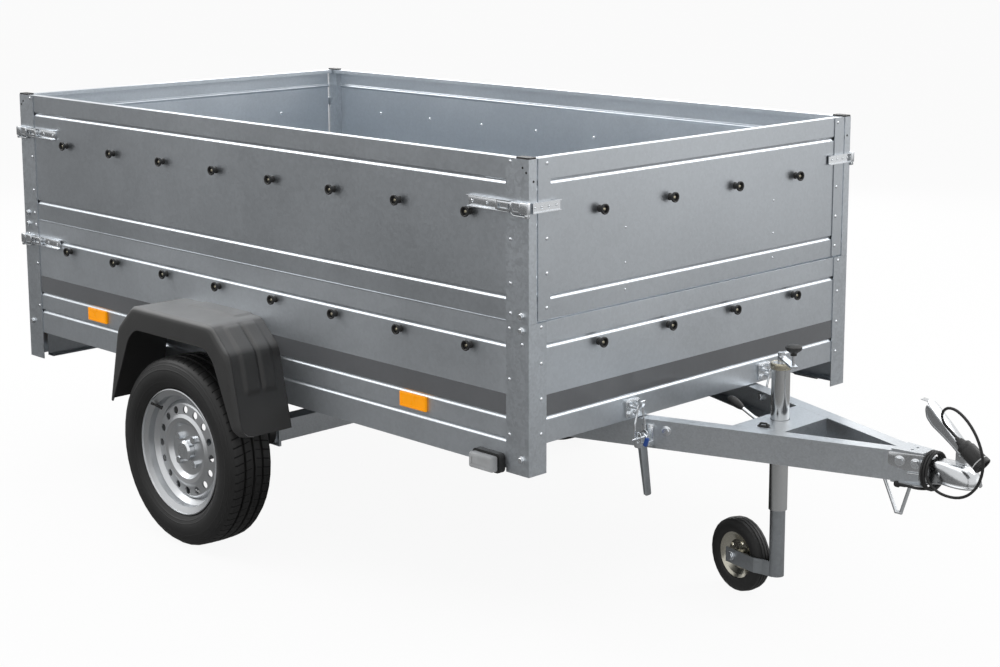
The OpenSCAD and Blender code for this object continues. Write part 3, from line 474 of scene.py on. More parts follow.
sheet_zinc = galvanised("galvanised_sheet", SHEET_TONE, 0.34, SHEET_SPANGLE, SHEET_CONTRAST)
post_zinc = galvanised("galvanised_posts", (0.565, 0.60, 0.634), 0.36, 170, 0.12)
steel_zinc = galvanised("galvanised_steel", (0.585, 0.614, 0.642), 0.36, 240, 0.12)
bright_zinc = galvanised("bright_zinc", (0.76, 0.785, 0.81), 0.22, 300, 0.04, relief=0.004)
wheel_silver = galvanised("wheel_silver", (0.62, 0.635, 0.65), 0.36, 600, 0.04, relief=0.02)
black_paint = moulded("black_paint", grey(0.02), 0.4, 200)
# The amber and red lenses glow though they are not lit: painted light.
amber_lens = prismatic("amber_lens", (1.0, 0.36, 0.002), 0.3)
clear_lens = prismatic("clear_lens", (0.44, 0.45, 0.46), 0.0)
red_lens = prismatic("red_lens", (0.42, 0.010, 0.010), 0.05)
finishes = {
    "galvanised_sheet": sheet_zinc, "galvanised_steel": steel_zinc, "zinc_plated": bright_zinc,
    "wheel_silver": wheel_silver, "tyre": black_rubber, "black_rubber": black_rubber,
    "black_plastic": black_plastic, "black_paint": black_paint, "amber_plastic": amber_lens,
    "white_plastic": clear_lens, "red_plastic": red_lens,
}
for part in frame["record"]["subparts"]:
    dress(finishes[part["material_slot"]], part["node"])
dress(post_zinc, "lower_posts", "upper_posts")
# The floor is galvanised sheet, darker and rougher than the boards.
dress(galvanised("darker_floor_sheet", (0.44, 0.465, 0.49), 0.5, 90, 0.10), "floor")
pressed_boards = {  # shade of the sheet, roughness, pressed face, boards
    "galvanised_upper_sides": (0.95, 0.34, ("Y", 0.6525), ("side_upper_right", "side_upper_left")),
    "galvanised_lower_sides": (1.0, 0.42, ("Y", 0.6525), ("side_lower_right", "side_lower_left")),
    "galvanised_front_board": (1.03, 0.34, ("X", 0.7325), ("front_lower_board",)),
    "galvanised_front_flap": (0.92, 0.34, ("X", 0.7325), ("front_flap",)),
    "galvanised_rear_flap": (1.0, 0.34, ("X", -1.5525), ("rear_flap",)),
    "galvanised_tailgate": (1.0, 0.34, ("X", -1.555), ("tailgate",)),
}
for name, (shade, rough, face, boards) in pressed_boards.items():
    board_tone = tuple(shade * t for t in SHEET_TONE)
    dress(galvanised(name, board_tone, rough, SHEET_SPANGLE, SHEET_CONTRAST, face=face), *boards)


# Stripes: a band of dark grey film along the lower boards of both sides and of the front, under the knobs.
# It is plain, 53 mm high and a third of a millimetre thick, with rounded corners.
STRIPE_LOW, STRIPE_HIGH, FILM = 575, 628, 0.35
FRONT_STRIPE_L, STRIPE_CORNER = 1183, 3
SIDE_FACE, FRONT_FACE, BED_L, POST_SIDE = 652.5, -2.5, 2290, 78


def rounded(points, radius, steps=4, closed=False):
    """A path whose corners are turned into arcs."""
    made, count = [], len(points)
    for i, corner in enumerate(points):
        here = Vector(corner)
        if not closed and i in (0, count - 1):
            made.append(here)
            continue
        before, after = Vector(points[i - 1]) - here, Vector(points[(i + 1) % count]) - here
        reach = min(radius, 0.48 * before.length, 0.48 * after.length)
        a, b = here + before.normalized() * reach, here + after.normalized() * reach
        for t in (k / steps for k in range(steps + 1)):
            made.append((1 - t) ** 2 * a + 2 * t * (1 - t) * here + t * t * b)
    return made


def plate(outline, thick):
    """A plate cut to an outline of (x, y) points, thick towards +Z."""
    piece = start(bpy.ops.mesh.primitive_circle_add, vertices=len(outline), radius=1, fill_type="NGON")
    grid = bmesh.from_edit_mesh(piece.data)
    for corner, place in zip(grid.verts, outline):
        corner.co = (place[0], place[1], 0)
    bmesh.update_edit_mesh(piece.data)
    bpy.ops.mesh.select_all(action="SELECT")
    bpy.ops.mesh.extrude_region_move(TRANSFORM_OT_translate={"value": (0, 0, thick)})
    return leave(piece)


def box_outline(w, h, radius, steps=3):
    """A rectangle with round corners."""
    corners = [(-w / 2, -h / 2), (w / 2, -h / 2), (w / 2, h / 2), (-w / 2, h / 2)]
    return rounded(corners, radius, steps, closed=True)


def mirrored(piece, across=1):
    """A copy of a piece on the other side: across 1 is the trailer's other side, 0 the bed's other end."""
    twin = piece.copy()
    twin.data = piece.data.copy()
    scene.collection.objects.link(twin)
    flip = Matrix.Diagonal([-1 if i == across else 1 for i in range(4)])
    if across == 0:
        flip = Matrix.Translation((-BED_L, 0, 0)) @ flip
    twin.data.transform(flip)
    twin.data.flip_normals()
    return twin


def pair(piece):
    """A piece and its twin on the trailer's other side, as one mesh."""
    return joined(piece, mirrored(piece))


film, film_shader, film_place = finish("stripe_film", Metallic=0.25, Coat_Weight=0.25)
film_grain = film_place.noise(60.0, 3.0)
film_cloud = film_place.noise(4.0, 3.0)
feed(film_shader, "Base Color", tinted((0.15, 0.156, 0.165), film_grain * 0.12 + film_cloud * 0.3 + 0.8))
feed(film_shader, "Roughness", (film_cloud * 0.2 + 0.24).clamp())
stripe_mid = (STRIPE_LOW + STRIPE_HIGH) / 2
side_stripe = plate(box_outline(BED_L - 2 * POST_SIDE - 4, STRIPE_HIGH - STRIPE_LOW, STRIPE_CORNER), FILM)
moved(side_stripe, put(-BED_L / 2, -SIDE_FACE, stripe_mid, rx=90))
done("side_stripes", pair(side_stripe), film, "bed", "galvanised_sheet")
front_stripe = plate(box_outline(FRONT_STRIPE_L, STRIPE_HIGH - STRIPE_LOW, STRIPE_CORNER), FILM)
moved(front_stripe, put(FRONT_FACE, 0, stripe_mid, rx=90, rz=90))
done("front_stripe", front_stripe, film, "bed", "galvanised_sheet")


# Rivets and bolts: domed rivets hold the boards to the posts, flanged hexagon bolts join the two rows of posts
# above and below the seam and hold the lamp brackets. All are bright zinc. Black rubber discs in the posts' spare
# holes are painted shade for their dark insides.
FACING = {"right": dict(rx=90), "left": dict(rx=-90), "front": dict(ry=90), "rear": dict(ry=-90)}
POST_FACE, BOLT_CREASE = 655, 24


def at(face, x, y, z):
    """A place on a face of the bed, with Z turned outwards."""
    return put(x, y, z, **FACING[face])


def repeated(piece, places):
    """Copies of a piece at the places, joined to one mesh; the pattern itself is removed."""
    made = []
    for place in places:
        twin = piece.copy()
        twin.data = piece.data.copy()
        scene.collection.objects.link(twin)
        made.append(moved(twin, place))
    bpy.data.objects.remove(piece)
    return joined(*made)


def soften(piece, width, segments=2):
    """Bevels a piece's sharp edges."""
    alone(piece)
    edge = piece.modifiers.new("edge", "BEVEL")
    edge.width, edge.segments = width, segments
    edge.limit_method, edge.angle_limit = "ANGLE", math.radians(35)
    bpy.ops.object.modifier_apply(modifier=edge.name)
    return piece


def rivet(radius=4.6):
    """A domed rivet head on Z."""
    return turned([(0, -0.4), (radius, -0.4), (radius, 0.3), (0.86 * radius, 1.3), (0.5 * radius, 2.2), (0, 2.5)], 12)


def hexagon_bolt(across=13.0, flange=9.5):
    """A bolt head on Z: its width across the flats and its flange's radius."""
    corner = across / math.sqrt(3)
    ring = [(corner * math.cos(k * math.pi / 3), corner * math.sin(k * math.pi / 3)) for k in range(6)]
    head = moved(soften(plate(ring, 6.0), 0.7, 1), put(z=1.2))
    return joined(head, turned([(0, -0.3), (flange, -0.3), (flange, 0.8), (0.85 * flange, 1.6), (0, 1.8)], 20))


def four_corners(spots):
    """Places on the side and end faces of all posts, from (face, x, y, z) of the right front one."""
    made = []
    for face, x, y, z in spots:
        for side, end in ((1, 0), (-1, 0), (1, 1), (-1, 1)):
            name = {"right": "right" if side > 0 else "left", "front": "rear" if end else "front"}[face]
            made.append(at(name, -BED_L - x if end else x, side * y, z))
    return made


post_rivets = [("right", -62, -POST_FACE, z) for z in (1203, 1014, 906, 832)]
post_rivets += [("right", -66, -POST_FACE, z) for z in (794, 667, 528)] + [("right", -22, -POST_FACE, 760)]
post_rivets += [("front", 0, -612, z) for z in (800, 710, 621, 533)]
done("post_rivets", repeated(rivet(), four_corners(post_rivets)), bright_zinc, "bed", "zinc_plated")
bolt_places = four_corners([("right", -24, -POST_FACE, z) for z in (829, 793, 471)])
done("post_bolts", repeated(hexagon_bolt(), bolt_places), bright_zinc, "bed", "zinc_plated", crease=BOLT_CREASE)
post_holes = [("right", -21, -POST_FACE, 1191), ("right", -9, -POST_FACE, 1180), ("front", 0, -639, 1158)]
# A flat black disc in each spare hole: painted shade for the hole's dark inside.
hole_shade_disc = turned([(0, 0.1), (2.0, 0.1), (2.5, 0.5), (3.0, 0.5), (3.4, -0.2), (0, -0.2)], 12)
done("post_hole_shade_discs", repeated(hole_shade_disc, four_corners(post_holes)), black_rubber, "bed", "black_rubber")
for body, face, edge_x, board_x in (("front_flap", "front", 0, FRONT_FACE),
                                    ("rear_flap", "rear", -BED_L, -BED_L - FRONT_FACE)):
    spots = [at(face, edge_x, side * 593, z) for side in (-1, 1) for z in (1198, 1015, 930, 845)]
    small = [at(face, board_x, side * 305, z) for side in (-1, 1) for z in (1008, 918, 849)]
    rivets = joined(repeated(rivet(), spots), repeated(rivet(2.8), small))
    done(body + "_rivets", rivets, bright_zinc, body, "zinc_plated")


# Tarpaulin knobs: black plastic spools along the upper and lower boards, each held by a yellowish zinc screw whose
# head shows in its hollow end, and by a domed nut inside. They ride on whatever board they are on.
yellow_zinc = galvanised("yellow_zinc", (0.60, 0.56, 0.44), 0.26, 300, 0.06, relief=0.004)
KNOB_SEAT, UPPER_ROW, LOWER_ROW, SHEET = 14.4, 1067, 731, 1.3
FIRST_KNOB, SIDE_PITCH, END_PITCH = -205, 260, 268
knob_outline = [(0, 0), (9.6, 0), (9.6, 2.2), (7.6, 3.6), (6.6, 7), (7.4, 10.4), (10.6, 12.8), (13.2, 14.2),
                (13.8, 16), (13.8, 19.4), (13, 20.6), (11, 20.6), (9.8, 19.6), (8.8, KNOB_SEAT), (0, KNOB_SEAT)]
side_spots = [at(face, FIRST_KNOB - SIDE_PITCH * i, side * SIDE_FACE, z) for i in range(8)
              for z in (UPPER_ROW, LOWER_ROW) for side, face in ((-1, "right"), (1, "left"))]
end_row = [END_PITCH * (i - 1.5) for i in range(4)]
knob_rows = {
    "bed": side_spots + [at("front", FRONT_FACE, y, LOWER_ROW) for y in end_row],
    "front_flap": [at("front", FRONT_FACE, y, UPPER_ROW) for y in end_row],
    "rear_flap": [at("rear", -BED_L - FRONT_FACE, y, UPPER_ROW) for y in end_row],
    "tailgate": [at("rear", -BED_L, y, LOWER_ROW) for y in end_row],
}
for body, spots in knob_rows.items():
    knobs = repeated(turned(knob_outline, 18), spots)
    done(body + "_spools", knobs, black_plastic, body, "black_plastic", body + "_knobs")
    screw = turned([(0, 0), (4.2, 0), (4.2, 1.4), (3, 2.6), (1.4, 2.7), (1.2, 1.8), (0, 1.7)], 10)
    seats = [spot @ put(z=KNOB_SEAT - 0.2) for spot in spots]
    done(body + "_knob_screws", repeated(screw, seats), yellow_zinc, body, "zinc_plated")
    ends = [spot @ put(z=-SHEET, rx=180) for spot in spots]
    done(body + "_knob_nuts", repeated(rivet(5.4), ends), bright_zinc, body, "zinc_plated")


# Fenders: shells moulded from black plastic, with a flat top, sloping ends, rounded outer edges, a cut-out over the
# wheel and two pressed ribs down the front slope. They are bolted to the side boards.
AXLE_X, FENDER_IN, FENDER_OUT, FENDER_WALL = -1236, 652.9, 838.0, 3.5
FENDER_EDGE, EDGE_DROP, EDGE_STEPS, FENDER_CORNER = 18, 2, 7, 20
FOOT_Z, CREST_Z, FOOT_ROUND, ARCH_MIDDLE = 376, 676, 36, 450
CROWN_STEPS, ROW_PITCH = 34, 6
HALF_CREST, HALF_ARCH = ((317, FOOT_Z), (267, 601), (187, CREST_Z)), ((294, FOOT_Z), (204, 577), (168, 607))
RIBS, RIB_RUN, RIB_RISE = ((738, 788), (683, 727)), (492, 668), 5.5
PANEL_X, PANEL_Y, PANEL_RISE = (-80, 140), (600, 712), 4.5


def skin(rows, inside):
    """A sheet through rows of points, its faces turned away from the point inside."""
    piece = start(bpy.ops.mesh.primitive_grid_add, x_subdivisions=len(rows[0]) - 1, y_subdivisions=len(rows) - 1)
    grid = bmesh.from_edit_mesh(piece.data)
    for corner, place in zip(grid.verts, (p for row in rows for p in row)):
        corner.co = place
    bmesh.ops.recalc_face_normals(grid, faces=grid.faces)
    outward = sum((f.calc_center_median() - Vector(inside)).dot(f.normal) for f in grid.faces)
    if outward < 0:
        bmesh.ops.reverse_faces(grid, faces=grid.faces)
    bmesh.update_edit_mesh(piece.data)
    return leave(piece, closed=False)


def walled(piece, thick):
    """Gives a sheet its thickness, to the inside."""
    alone(piece)
    wall = piece.modifiers.new("wall", "SOLIDIFY")
    wall.thickness, wall.offset = thick, -1
    bpy.ops.object.modifier_apply(modifier=wall.name)
    return piece


def ramp(value, low, high, soft):
    """1 between low and high, falling smoothly to 0 over soft outside them."""
    inside = min(max((value - low) / soft + 0.5, 0), 1) * min(max((high - value) / soft + 0.5, 0), 1)
    return inside * inside * (3 - 2 * inside)


def both_ends(half):
    """An arch from the points of its front half."""
    return [Vector(p) for p in half] + [Vector((-p[0], p[1])) for p in reversed(half)]


def fender_rise(top, y):
    """How far the skin stands off the crest: the front slope is sunk beside its ribs, the top round a panel."""
    rib = max(ramp(y, a, b, 9) for a, b in RIBS) * ramp(top.y, *RIB_RUN, 16) if top.x > 0 else 0
    if top.y > CREST_Z - 6:
        return RIB_RISE * rib + PANEL_RISE * (ramp(top.x, *PANEL_X, 8) * ramp(y, *PANEL_Y, 8) - 1)
    return RIB_RISE * (rib - 1) if top.x > 0 else 0


def fender_rows():
    """Rows across the shell, from one foot over the crest to the other: the crown, its round edge, the cheek."""
    crest = rounded(both_ends(HALF_CREST), FENDER_CORNER)
    arch = rounded(both_ends(HALF_ARCH), FENDER_CORNER)
    pairs = []
    for a, b, c, d in zip(crest, crest[1:], arch, arch[1:]):
        pieces = max(1, round((b - a).length / ROW_PITCH))
        pairs += [(a.lerp(b, k / pieces), c.lerp(d, k / pieces)) for k in range(pieces)]
    pairs.append((crest[-1], arch[-1]))
    tops = [top for top, low in pairs]
    rows = []
    for j, (top, low) in enumerate(pairs):
        along = tops[min(j + 1, len(tops) - 1)] - tops[max(j - 1, 0)]
        normal = Vector((along.y, -along.x)).normalized()
        if normal.dot(top - Vector((0, ARCH_MIDDLE))) < 0:
            normal.negate()
        bend = min(FENDER_EDGE, 0.8 * (top - low).length)
        foot = max(0, 1 - (top.y - FOOT_Z) / FOOT_ROUND) if top.x > 0 else 0
        outer = FENDER_OUT - FOOT_ROUND * (1 - math.sqrt(1 - foot * foot))
        row = []
        for k in range(CROWN_STEPS + 1):
            y = FENDER_IN + (outer - bend - FENDER_IN) * k / CROWN_STEPS
            crown = top + normal * fender_rise(top, y)
            row.append((AXLE_X + crown.x, -y, crown.y))
        for a in (math.pi / 2 * k / EDGE_STEPS for k in range(1, EDGE_STEPS + 1)):
            out = top + normal * (bend * (math.cos(a) - 1) - EDGE_DROP)
            row.append((AXLE_X + out.x, -(outer - bend + bend * math.sin(a)), out.y))
        edge = top - normal * (bend + EDGE_DROP)
        for down in (edge.lerp(low, t) for t in (0.25, 0.5, 0.75, 1.0)):
            row.append((AXLE_X + down.x, -outer, down.y))
        rows.append(row)
    return rows


# The fender's top is painted lighter: a painted sheen of the light from above.
fender_black = moulded("fender_black", grey(0.034), 0.5, 1100, relief=0.35, painted_top_light=6.0)
fender = walled(skin(fender_rows(), (AXLE_X, -740, ARCH_MIDDLE)), FENDER_WALL)
left_fender = mirrored(fender)
done("fender_shell_right", fender, fender_black, "bed", "black_plastic", "fender_right")
done("fender_shell_left", left_fender, fender_black, "bed", "black_plastic", "fender_left")


# Road tyres: 155 mm wide black rubber with rounded sidewalls and three grooves round the tread.
# The cross cuts of the tread and the rings on the sidewalls are in the rubber's relief; the cuts are also painted dark,
# as painted shade in them.
WHEEL = Vector((AXLE_X, -756.5, 273.5))
TYRE_STEPS, TREAD_CUTS, TREAD_FROM = 44, 68, 0.2655
SIDEWALL_RINGS = ((0.196, 0.0022), (0.206, 0.0016), (0.240, 0.0030), (0.252, 0.0014), (0.258, 0.0014))
sidewall = [(168, -50), (183, -57), (196, -71), (220, -77.3), (246, -74.5), (263, -65), (271, -54)]
tread = []
for middle in (-30, 0, 30):
    crown = 273.4 - 2.4 * (middle / 54) ** 2
    tread += [(crown, middle - 4.5), (crown - 7, middle - 3.2), (crown - 7, middle + 3.2), (crown, middle + 4.5)]
tyre_outline = sidewall + tread + [(r, -y) for r, y in reversed(sidewall)] + [sidewall[0]]


def road_rubber(name):
    """Tyre rubber: slanting cuts across the tread, painted dark as shade, rings on the sidewalls, a little dust."""
    made, shader, place = finish(name)
    split = place.node("ShaderNodeSeparateXYZ", Vector=place)
    x, y, z = (place.out(split, axis) for axis in "XYZ")
    hub = MILLIMETRES @ WHEEL
    x, z = x - hub.x, z - hub.z
    radius = place.math("SQRT", x * x + z * z)
    across = place.math("ABSOLUTE", place.math("ABSOLUTE", y) - abs(hub.y))
    on_tread = ((radius - TREAD_FROM) * 900.0).clamp()
    cuts = place.math("FRACT", place.math("ARCTAN2", z, x) * (TREAD_CUTS / math.tau) + across * 9.0 + 10.0)
    shoulder, centre = across > 0.034, (across < 0.027) * (across > 0.008)
    cuts = ((cuts < 0.17) * shoulder + (cuts < 0.10) * centre) * on_tread
    rings = 0.0
    for ring, width in SIDEWALL_RINGS:
        rings = rings + (1.0 - place.math("ABSOLUTE", radius - ring) * (1 / width)).clamp()
    dust = place.noise(14.0, 4.0)
    grain = place.noise(420.0, 2.0)
    # The cuts darken the colour: painted shade in them.
    shade = (dust * 0.7 + grain * 0.25 + 0.55 + on_tread * 0.35) * (1.0 - cuts.clamp() * 0.85)
    feed(shader, "Base Color", tinted(grey(0.010), shade))
    feed(shader, "Roughness", (dust * 0.2 + 0.42 + cuts * 0.4).clamp())
    feed(shader, "Normal", place.bump(rings * 0.5 - cuts * 1.6 + grain * 0.08, 0.8, 0.0016))
    return made


tread_rubber = road_rubber("tread_rubber")
right_tyre = moved(turned(tyre_outline, TYRE_STEPS), Matrix.Translation(WHEEL) @ put(rx=90))
left_tyre = mirrored(right_tyre)
done("road_tyre_right", right_tyre, tread_rubber, "wheel_right", "tyre", "tyre_right", crease=40)
done("road_tyre_left", left_tyre, tread_rubber, "wheel_left", "tyre", "tyre_left", crease=40)


# Wheel fittings: a rubber valve with its cap, pulled through a hole in each rim. The pressed rims and the hubs with
# their nuts are the CAD solids, in silver paint and bright zinc.
valve = turned([(0, 0), (6, 0), (6, 3), (4, 5), (4, 20), (3.2, 22), (3.2, 26), (4, 27), (4, 34), (3, 36), (0, 36)], 12)
moved(valve, put(WHEEL.x - 104, WHEEL.y - 40, WHEEL.z + 106, rx=62, rz=-30))
left_valve = mirrored(valve)
done("valve_right", valve, black_rubber, "wheel_right", "black_rubber")
done("valve_left", left_valve, black_rubber, "wheel_left", "black_rubber")


# Coupling: a pressed, bright-zinc ball head on the drawbar's nose, with a rolled rim and two bolts through the neck.
# Its lever is a channel with pressed panels in its walls, left standing up.
BALL_X, RIM_LOW = 808, 445
# Sections along X: place, half width, top, lower edge, and a power that is 0 for a box and 1 for an ellipse.
head_sections = [(693.6, 26.6, 495, 436, 0.30), (722, 26.8, 495.5, 437, 0.32), (744, 27.5, 496, 439, 0.38),
                 (760, 30, 497, RIM_LOW, 0.5), (776, 33.5, 498, RIM_LOW, 0.62), (792, 36, 498, RIM_LOW, 0.7),
                 (808, 36.6, 496.5, RIM_LOW, 0.78), (820, 34.6, 492, RIM_LOW, 0.82), (830, 30.6, 485, RIM_LOW, 0.86),
                 (837, 25.0, 477, RIM_LOW, 0.9), (842, 18.0, 468, RIM_LOW, 0.95), (844.4, 9.0, 458, RIM_LOW, 1.0),
                 (845, 0.4, 449, RIM_LOW, 1.0)]


def head_rows():
    """Rows across the pressed head, from rim to rim over its top."""
    made = []
    for x, half, top, low, power in head_sections:
        rim = 3.2 * ramp(x, 758, 900, 14)
        side = [(x, -half - rim, low), (x, -half - rim, low + 4), (x, -half - rim * 0.4, low + 5.5)]
        bow = []
        for a in (math.pi * k / 24 for k in range(25)):
            c, s = math.cos(a), math.sin(a)
            bow.append((x, -half * math.copysign(abs(c) ** power, c), low + 6 + (top - low - 6) * s ** power))
        made.append(side + bow + [(p[0], -p[1], p[2]) for p in reversed(side)])
    return made


head = walled(skin(head_rows(), (780, 0, 455)), 3)
alone(head)
pressing = head.modifiers.new("pressing", "SUBSURF")
pressing.levels = pressing.render_levels = 1
bpy.ops.object.modifier_apply(modifier=pressing.name)
head_zinc = galvanised("head_zinc", (0.60, 0.615, 0.63), 0.2, 300, 0.04, relief=0.004)
done("coupling_shell", head, head_zinc, "chassis", "zinc_plated", "coupling_head", crease=50)

ARM_TURN, ARM_SLOPE, NOSE_X, NOSE_HALF = 18.65, 0.3374, 705, 12


def on_arm(x, z, out=0.0):
    """A place on the right arm's outer web, facing outwards, with X forward along the arm and Y up."""
    return put(x, -NOSE_HALF - (NOSE_X - x) * ARM_SLOPE - out, z, rz=ARM_TURN) @ put(rx=90)


def block(x, y, z, edge=0.8, segments=2):
    """A box between pairs of limits, with soft edges."""
    piece = start(bpy.ops.mesh.primitive_cube_add, size=1)
    bpy.ops.object.mode_set(mode="OBJECT")
    sizes = [b - a for a, b in (x, y, z)]
    moved(piece, Matrix.Translation([(a + b) / 2 for a, b in (x, y, z)]) @ Matrix.Diagonal((*sizes, 1)))
    return soften(piece, edge, segments)


def windowed(piece, aim, border, depth):
    """Sinks a window into the face that looks along aim."""
    alone(piece)
    bpy.ops.object.mode_set(mode="EDIT")
    bpy.ops.mesh.select_mode(type="FACE")
    bpy.ops.mesh.select_all(action="DESELECT")
    grid = bmesh.from_edit_mesh(piece.data)
    face = max((f for f in grid.faces if f.normal.dot(Vector(aim)) > 0.95), key=lambda f: f.calc_area())
    face.select = True
    bmesh.update_edit_mesh(piece.data)
    bpy.ops.mesh.inset(thickness=border)
    bpy.ops.mesh.extrude_region_move(TRANSFORM_OT_translate={"value": tuple(-depth * a for a in aim)})
    return leave(piece)


cheek = plate(rounded([(-88, -16), (-40, -27), (4, -32), (4, 16), (-88, 16)], 4, 2, closed=True), 2)
lip = block((-40, 4), (-33, -30), (0, 7), 1.2)
cheek = moved(joined(soften(cheek, 0.6), lip), on_arm(702, 484, 0.2))
done("coupling_cheeks", pair(cheek), head_zinc, "chassis", "zinc_plated")
neck_bolts = repeated(hexagon_bolt(17, 13), [on_arm(646, 480, 2.2), on_arm(683, 477, 2.2)])
done("neck_bolts", pair(neck_bolts), bright_zinc, "chassis", "zinc_plated", crease=BOLT_CREASE)
neck_rivet = repeated(rivet(6.5), [at("right", 752, -27.4, 466)])
done("neck_rivets", pair(neck_rivet), bright_zinc, "chassis", "zinc_plated")

LEVER_L, LEVER_HALF, LEVER_TURN, LEVER_FOOT = 144, 16.5, -136, 528
lever_top = rounded([(-6, -17), (70, -19), (128, -17), (LEVER_L, -10), (LEVER_L, 10), (128, 17), (70, 19), (-6, 17)],
                    7, 3, closed=True)
lever_wall = rounded([(-6, 0), (136, 0), (131, 12), (114, 24), (90, 26), (58, 20), (24, 15), (-6, 13)], 6, 3,
                     closed=True)
wall = windowed(plate(lever_wall, 2.5), (0, 0, 1), 3.2, 1.2)
far_wall = moved(mirrored(wall, 2), put(y=LEVER_HALF, rx=90))
near_wall = moved(wall, put(y=-LEVER_HALF, rx=90))
beak = moved(block((-2, 20), (-9, 9), (-2.2, 0), 0.8), put(LEVER_L - 3, 0, 1, ry=-38))
lever = joined(soften(moved(plate(lever_top, 2.5), put(z=-2.5)), 0.6), near_wall, far_wall, beak)
moved(lever, put(BALL_X - 10, 0, LEVER_FOOT) @ put(ry=LEVER_TURN) @ put(z=-9.5))
foot = soften(plate(rounded([(-13, 0), (13, 0), (11, 30), (5, 42), (-9, 42), (-13, 28)], 5, 3, closed=True), 16), 1.5)
moved(foot, put(BALL_X - 12, 8, 497, rx=90))
foot_rivets = repeated(rivet(5), [at("right", BALL_X - 13, -8, 521), at("left", BALL_X - 13, 8, 521)])
done("coupling_lever", joined(lever, foot, foot_rivets), head_zinc, "chassis", "zinc_plated", "coupling_handle")


# Corner latches: zinc-plated toggle latches on the sides, whose hooks reach round the corner to the straps of the
# flaps and the tailgate. Each is a channel with two rivets, a lever with a window, a hook and a round bar under it.
UPPER_LATCH, LOWER_LATCH, LATCH_HALF, STRAP_OUT = 1095, 745, 14.6, 3.2


def rod(points, radius, closed=False):
    """A bent round bar as a mesh."""
    alone(line_object("bar", points, radius, closed))
    bpy.ops.object.convert(target="MESH")
    return bpy.context.object


def latch():
    """The right front latch, at the height 0: outwards is -Y, along the side is -X."""
    made = [block((-206, -80), (-656.4, -652.6), (-13, 13), 0.5), block((-81, -56), (-656.4, -655.1), (-13, 13), 0.4)]
    for z in (-13.6, 13.6):
        made.append(block((-206, -58), (-664.5, -653), (z - 1, z + 1), 0.6))
    made.append(windowed(block((-104, -50), (-666, -656), (-11.6, 11.6), 1.6), (0, -1, 0), 4, 5.5))
    made.append(rod([(-98, -664, -11), (-98, -664, 11)], 2.4))
    made.append(rod([(-64, -663, -11), (-64, -663, 11)], 2.4))
    made.append(windowed(block((-49, -18), (-667.5, -655.2), (-14, 14), 1.8), (0, -1, 0), 3, 1.4))
    made.append(block((-17, 6.6), (-669, -655.2), (-LATCH_HALF, LATCH_HALF), 2.2, 3))
    made.append(rod(rounded([(4, -661, -14), (4, -662, -20), (-44, -662, -20), (-52, -662, -14)], 5), 2.6))
    made.append(block((-3, 5), (-667, -656), (-23.5, -14), 1.2))
    return joined(*made, repeated(rivet(4.2), [at("right", -u, -656.4, 0) for u in (192, 140)]))


right_latch = latch()
left_latch = mirrored(right_latch)
rear_pair = joined(mirrored(right_latch, 0), mirrored(left_latch, 0))
rear_latches = repeated(rear_pair, [put(z=UPPER_LATCH), put(z=LOWER_LATCH)])
front_pair = moved(joined(right_latch, left_latch), put(z=UPPER_LATCH))
done("toggle_latches", joined(front_pair, rear_latches), bright_zinc, "bed", "zinc_plated", "corner_latches")
for body, face, strap_x, z in (("front_flap", "front", STRAP_OUT, UPPER_LATCH),
                               ("rear_flap", "rear", -BED_L - STRAP_OUT, UPPER_LATCH),
                               ("tailgate", "rear", -BED_L - STRAP_OUT, LOWER_LATCH)):
    spots = [at(face, strap_x, side * y, z) for side in (-1, 1) for y in (638, 615, 590, 564)]
    done(body + "_strap_rivets", repeated(rivet(3.8), spots), bright_zinc, body, "zinc_plated")


# Seam strips: the upper side boards end in a narrow hem, folded from the same galvanised sheet, which stands
# a little proud over the lower boards between the posts.
HEM_Z, HEM_HALF, HEM_END = 811.5, 1.6, POST_SIDE + 1
hem = block((HEM_END - BED_L, -HEM_END), (-654.2, -652.3), (HEM_Z - HEM_HALF, HEM_Z + HEM_HALF), 0.6)
done("seam_hems", pair(hem), sheet_zinc, "bed", "galvanised_sheet")


# Hold-down fasteners: on each side a hook bolted to the bed's front board, a wire bail over it and a toggle lever that
# pulls the bail down, pinned in a bracket on the drawbar. All are zinc-plated, the levers duller. A pin with a ring and
# a blue clip secures the right one.
HOOK_X, HOOK_Y, BOARD_X, HOOK_Z = 26, 275.4, -2.3, 509
TOGGLE_Z, TOGGLE_TILT, BAIL_HALF = 451, -8, 20
hook_side = [(0, 27), (24, 27), (33, 31), (39, 41), (39.4, 52), (34, 52), (33.5, 43), (28, 35), (21, 32.6), (0, 32.6)]
hook = soften(plate(rounded(hook_side, 3, 2, closed=True), 18), 1.2)
moved(hook, put(BOARD_X, -HOOK_Y + 9, HOOK_Z, rx=90))
hook_plate = soften(plate(box_outline(48, 52, 6), 4), 0.7)
moved(hook_plate, at("front", BOARD_X, -HOOK_Y, HOOK_Z + 26))
hook_bolts = repeated(hexagon_bolt(13, 9), [at("front", BOARD_X + 4, -HOOK_Y + y, HOOK_Z + z)
                                            for y, z in ((-15, 42), (15, 42), (-15, 12), (15, 12))])
hook = joined(hook, hook_plate, hook_bolts)
done("bed_hooks", pair(hook), bright_zinc, "bed", "zinc_plated", "hold_down_hooks")

BAIL_TOP = HOOK_Z + 38
bail_line = [(HOOK_X, -HOOK_Y + y, z) for y, z in ((-BAIL_HALF, 461), (-BAIL_HALF, 500), (-11, 524), (-9, BAIL_TOP),
                                                   (9, BAIL_TOP), (11, 524), (BAIL_HALF, 500), (BAIL_HALF, 461))]
bail = rod(rounded(bail_line, 8, 5, closed=True), 2.9, closed=True)
done("wire_bails", pair(bail), bright_zinc, "bed", "zinc_plated", "hold_down_bails")

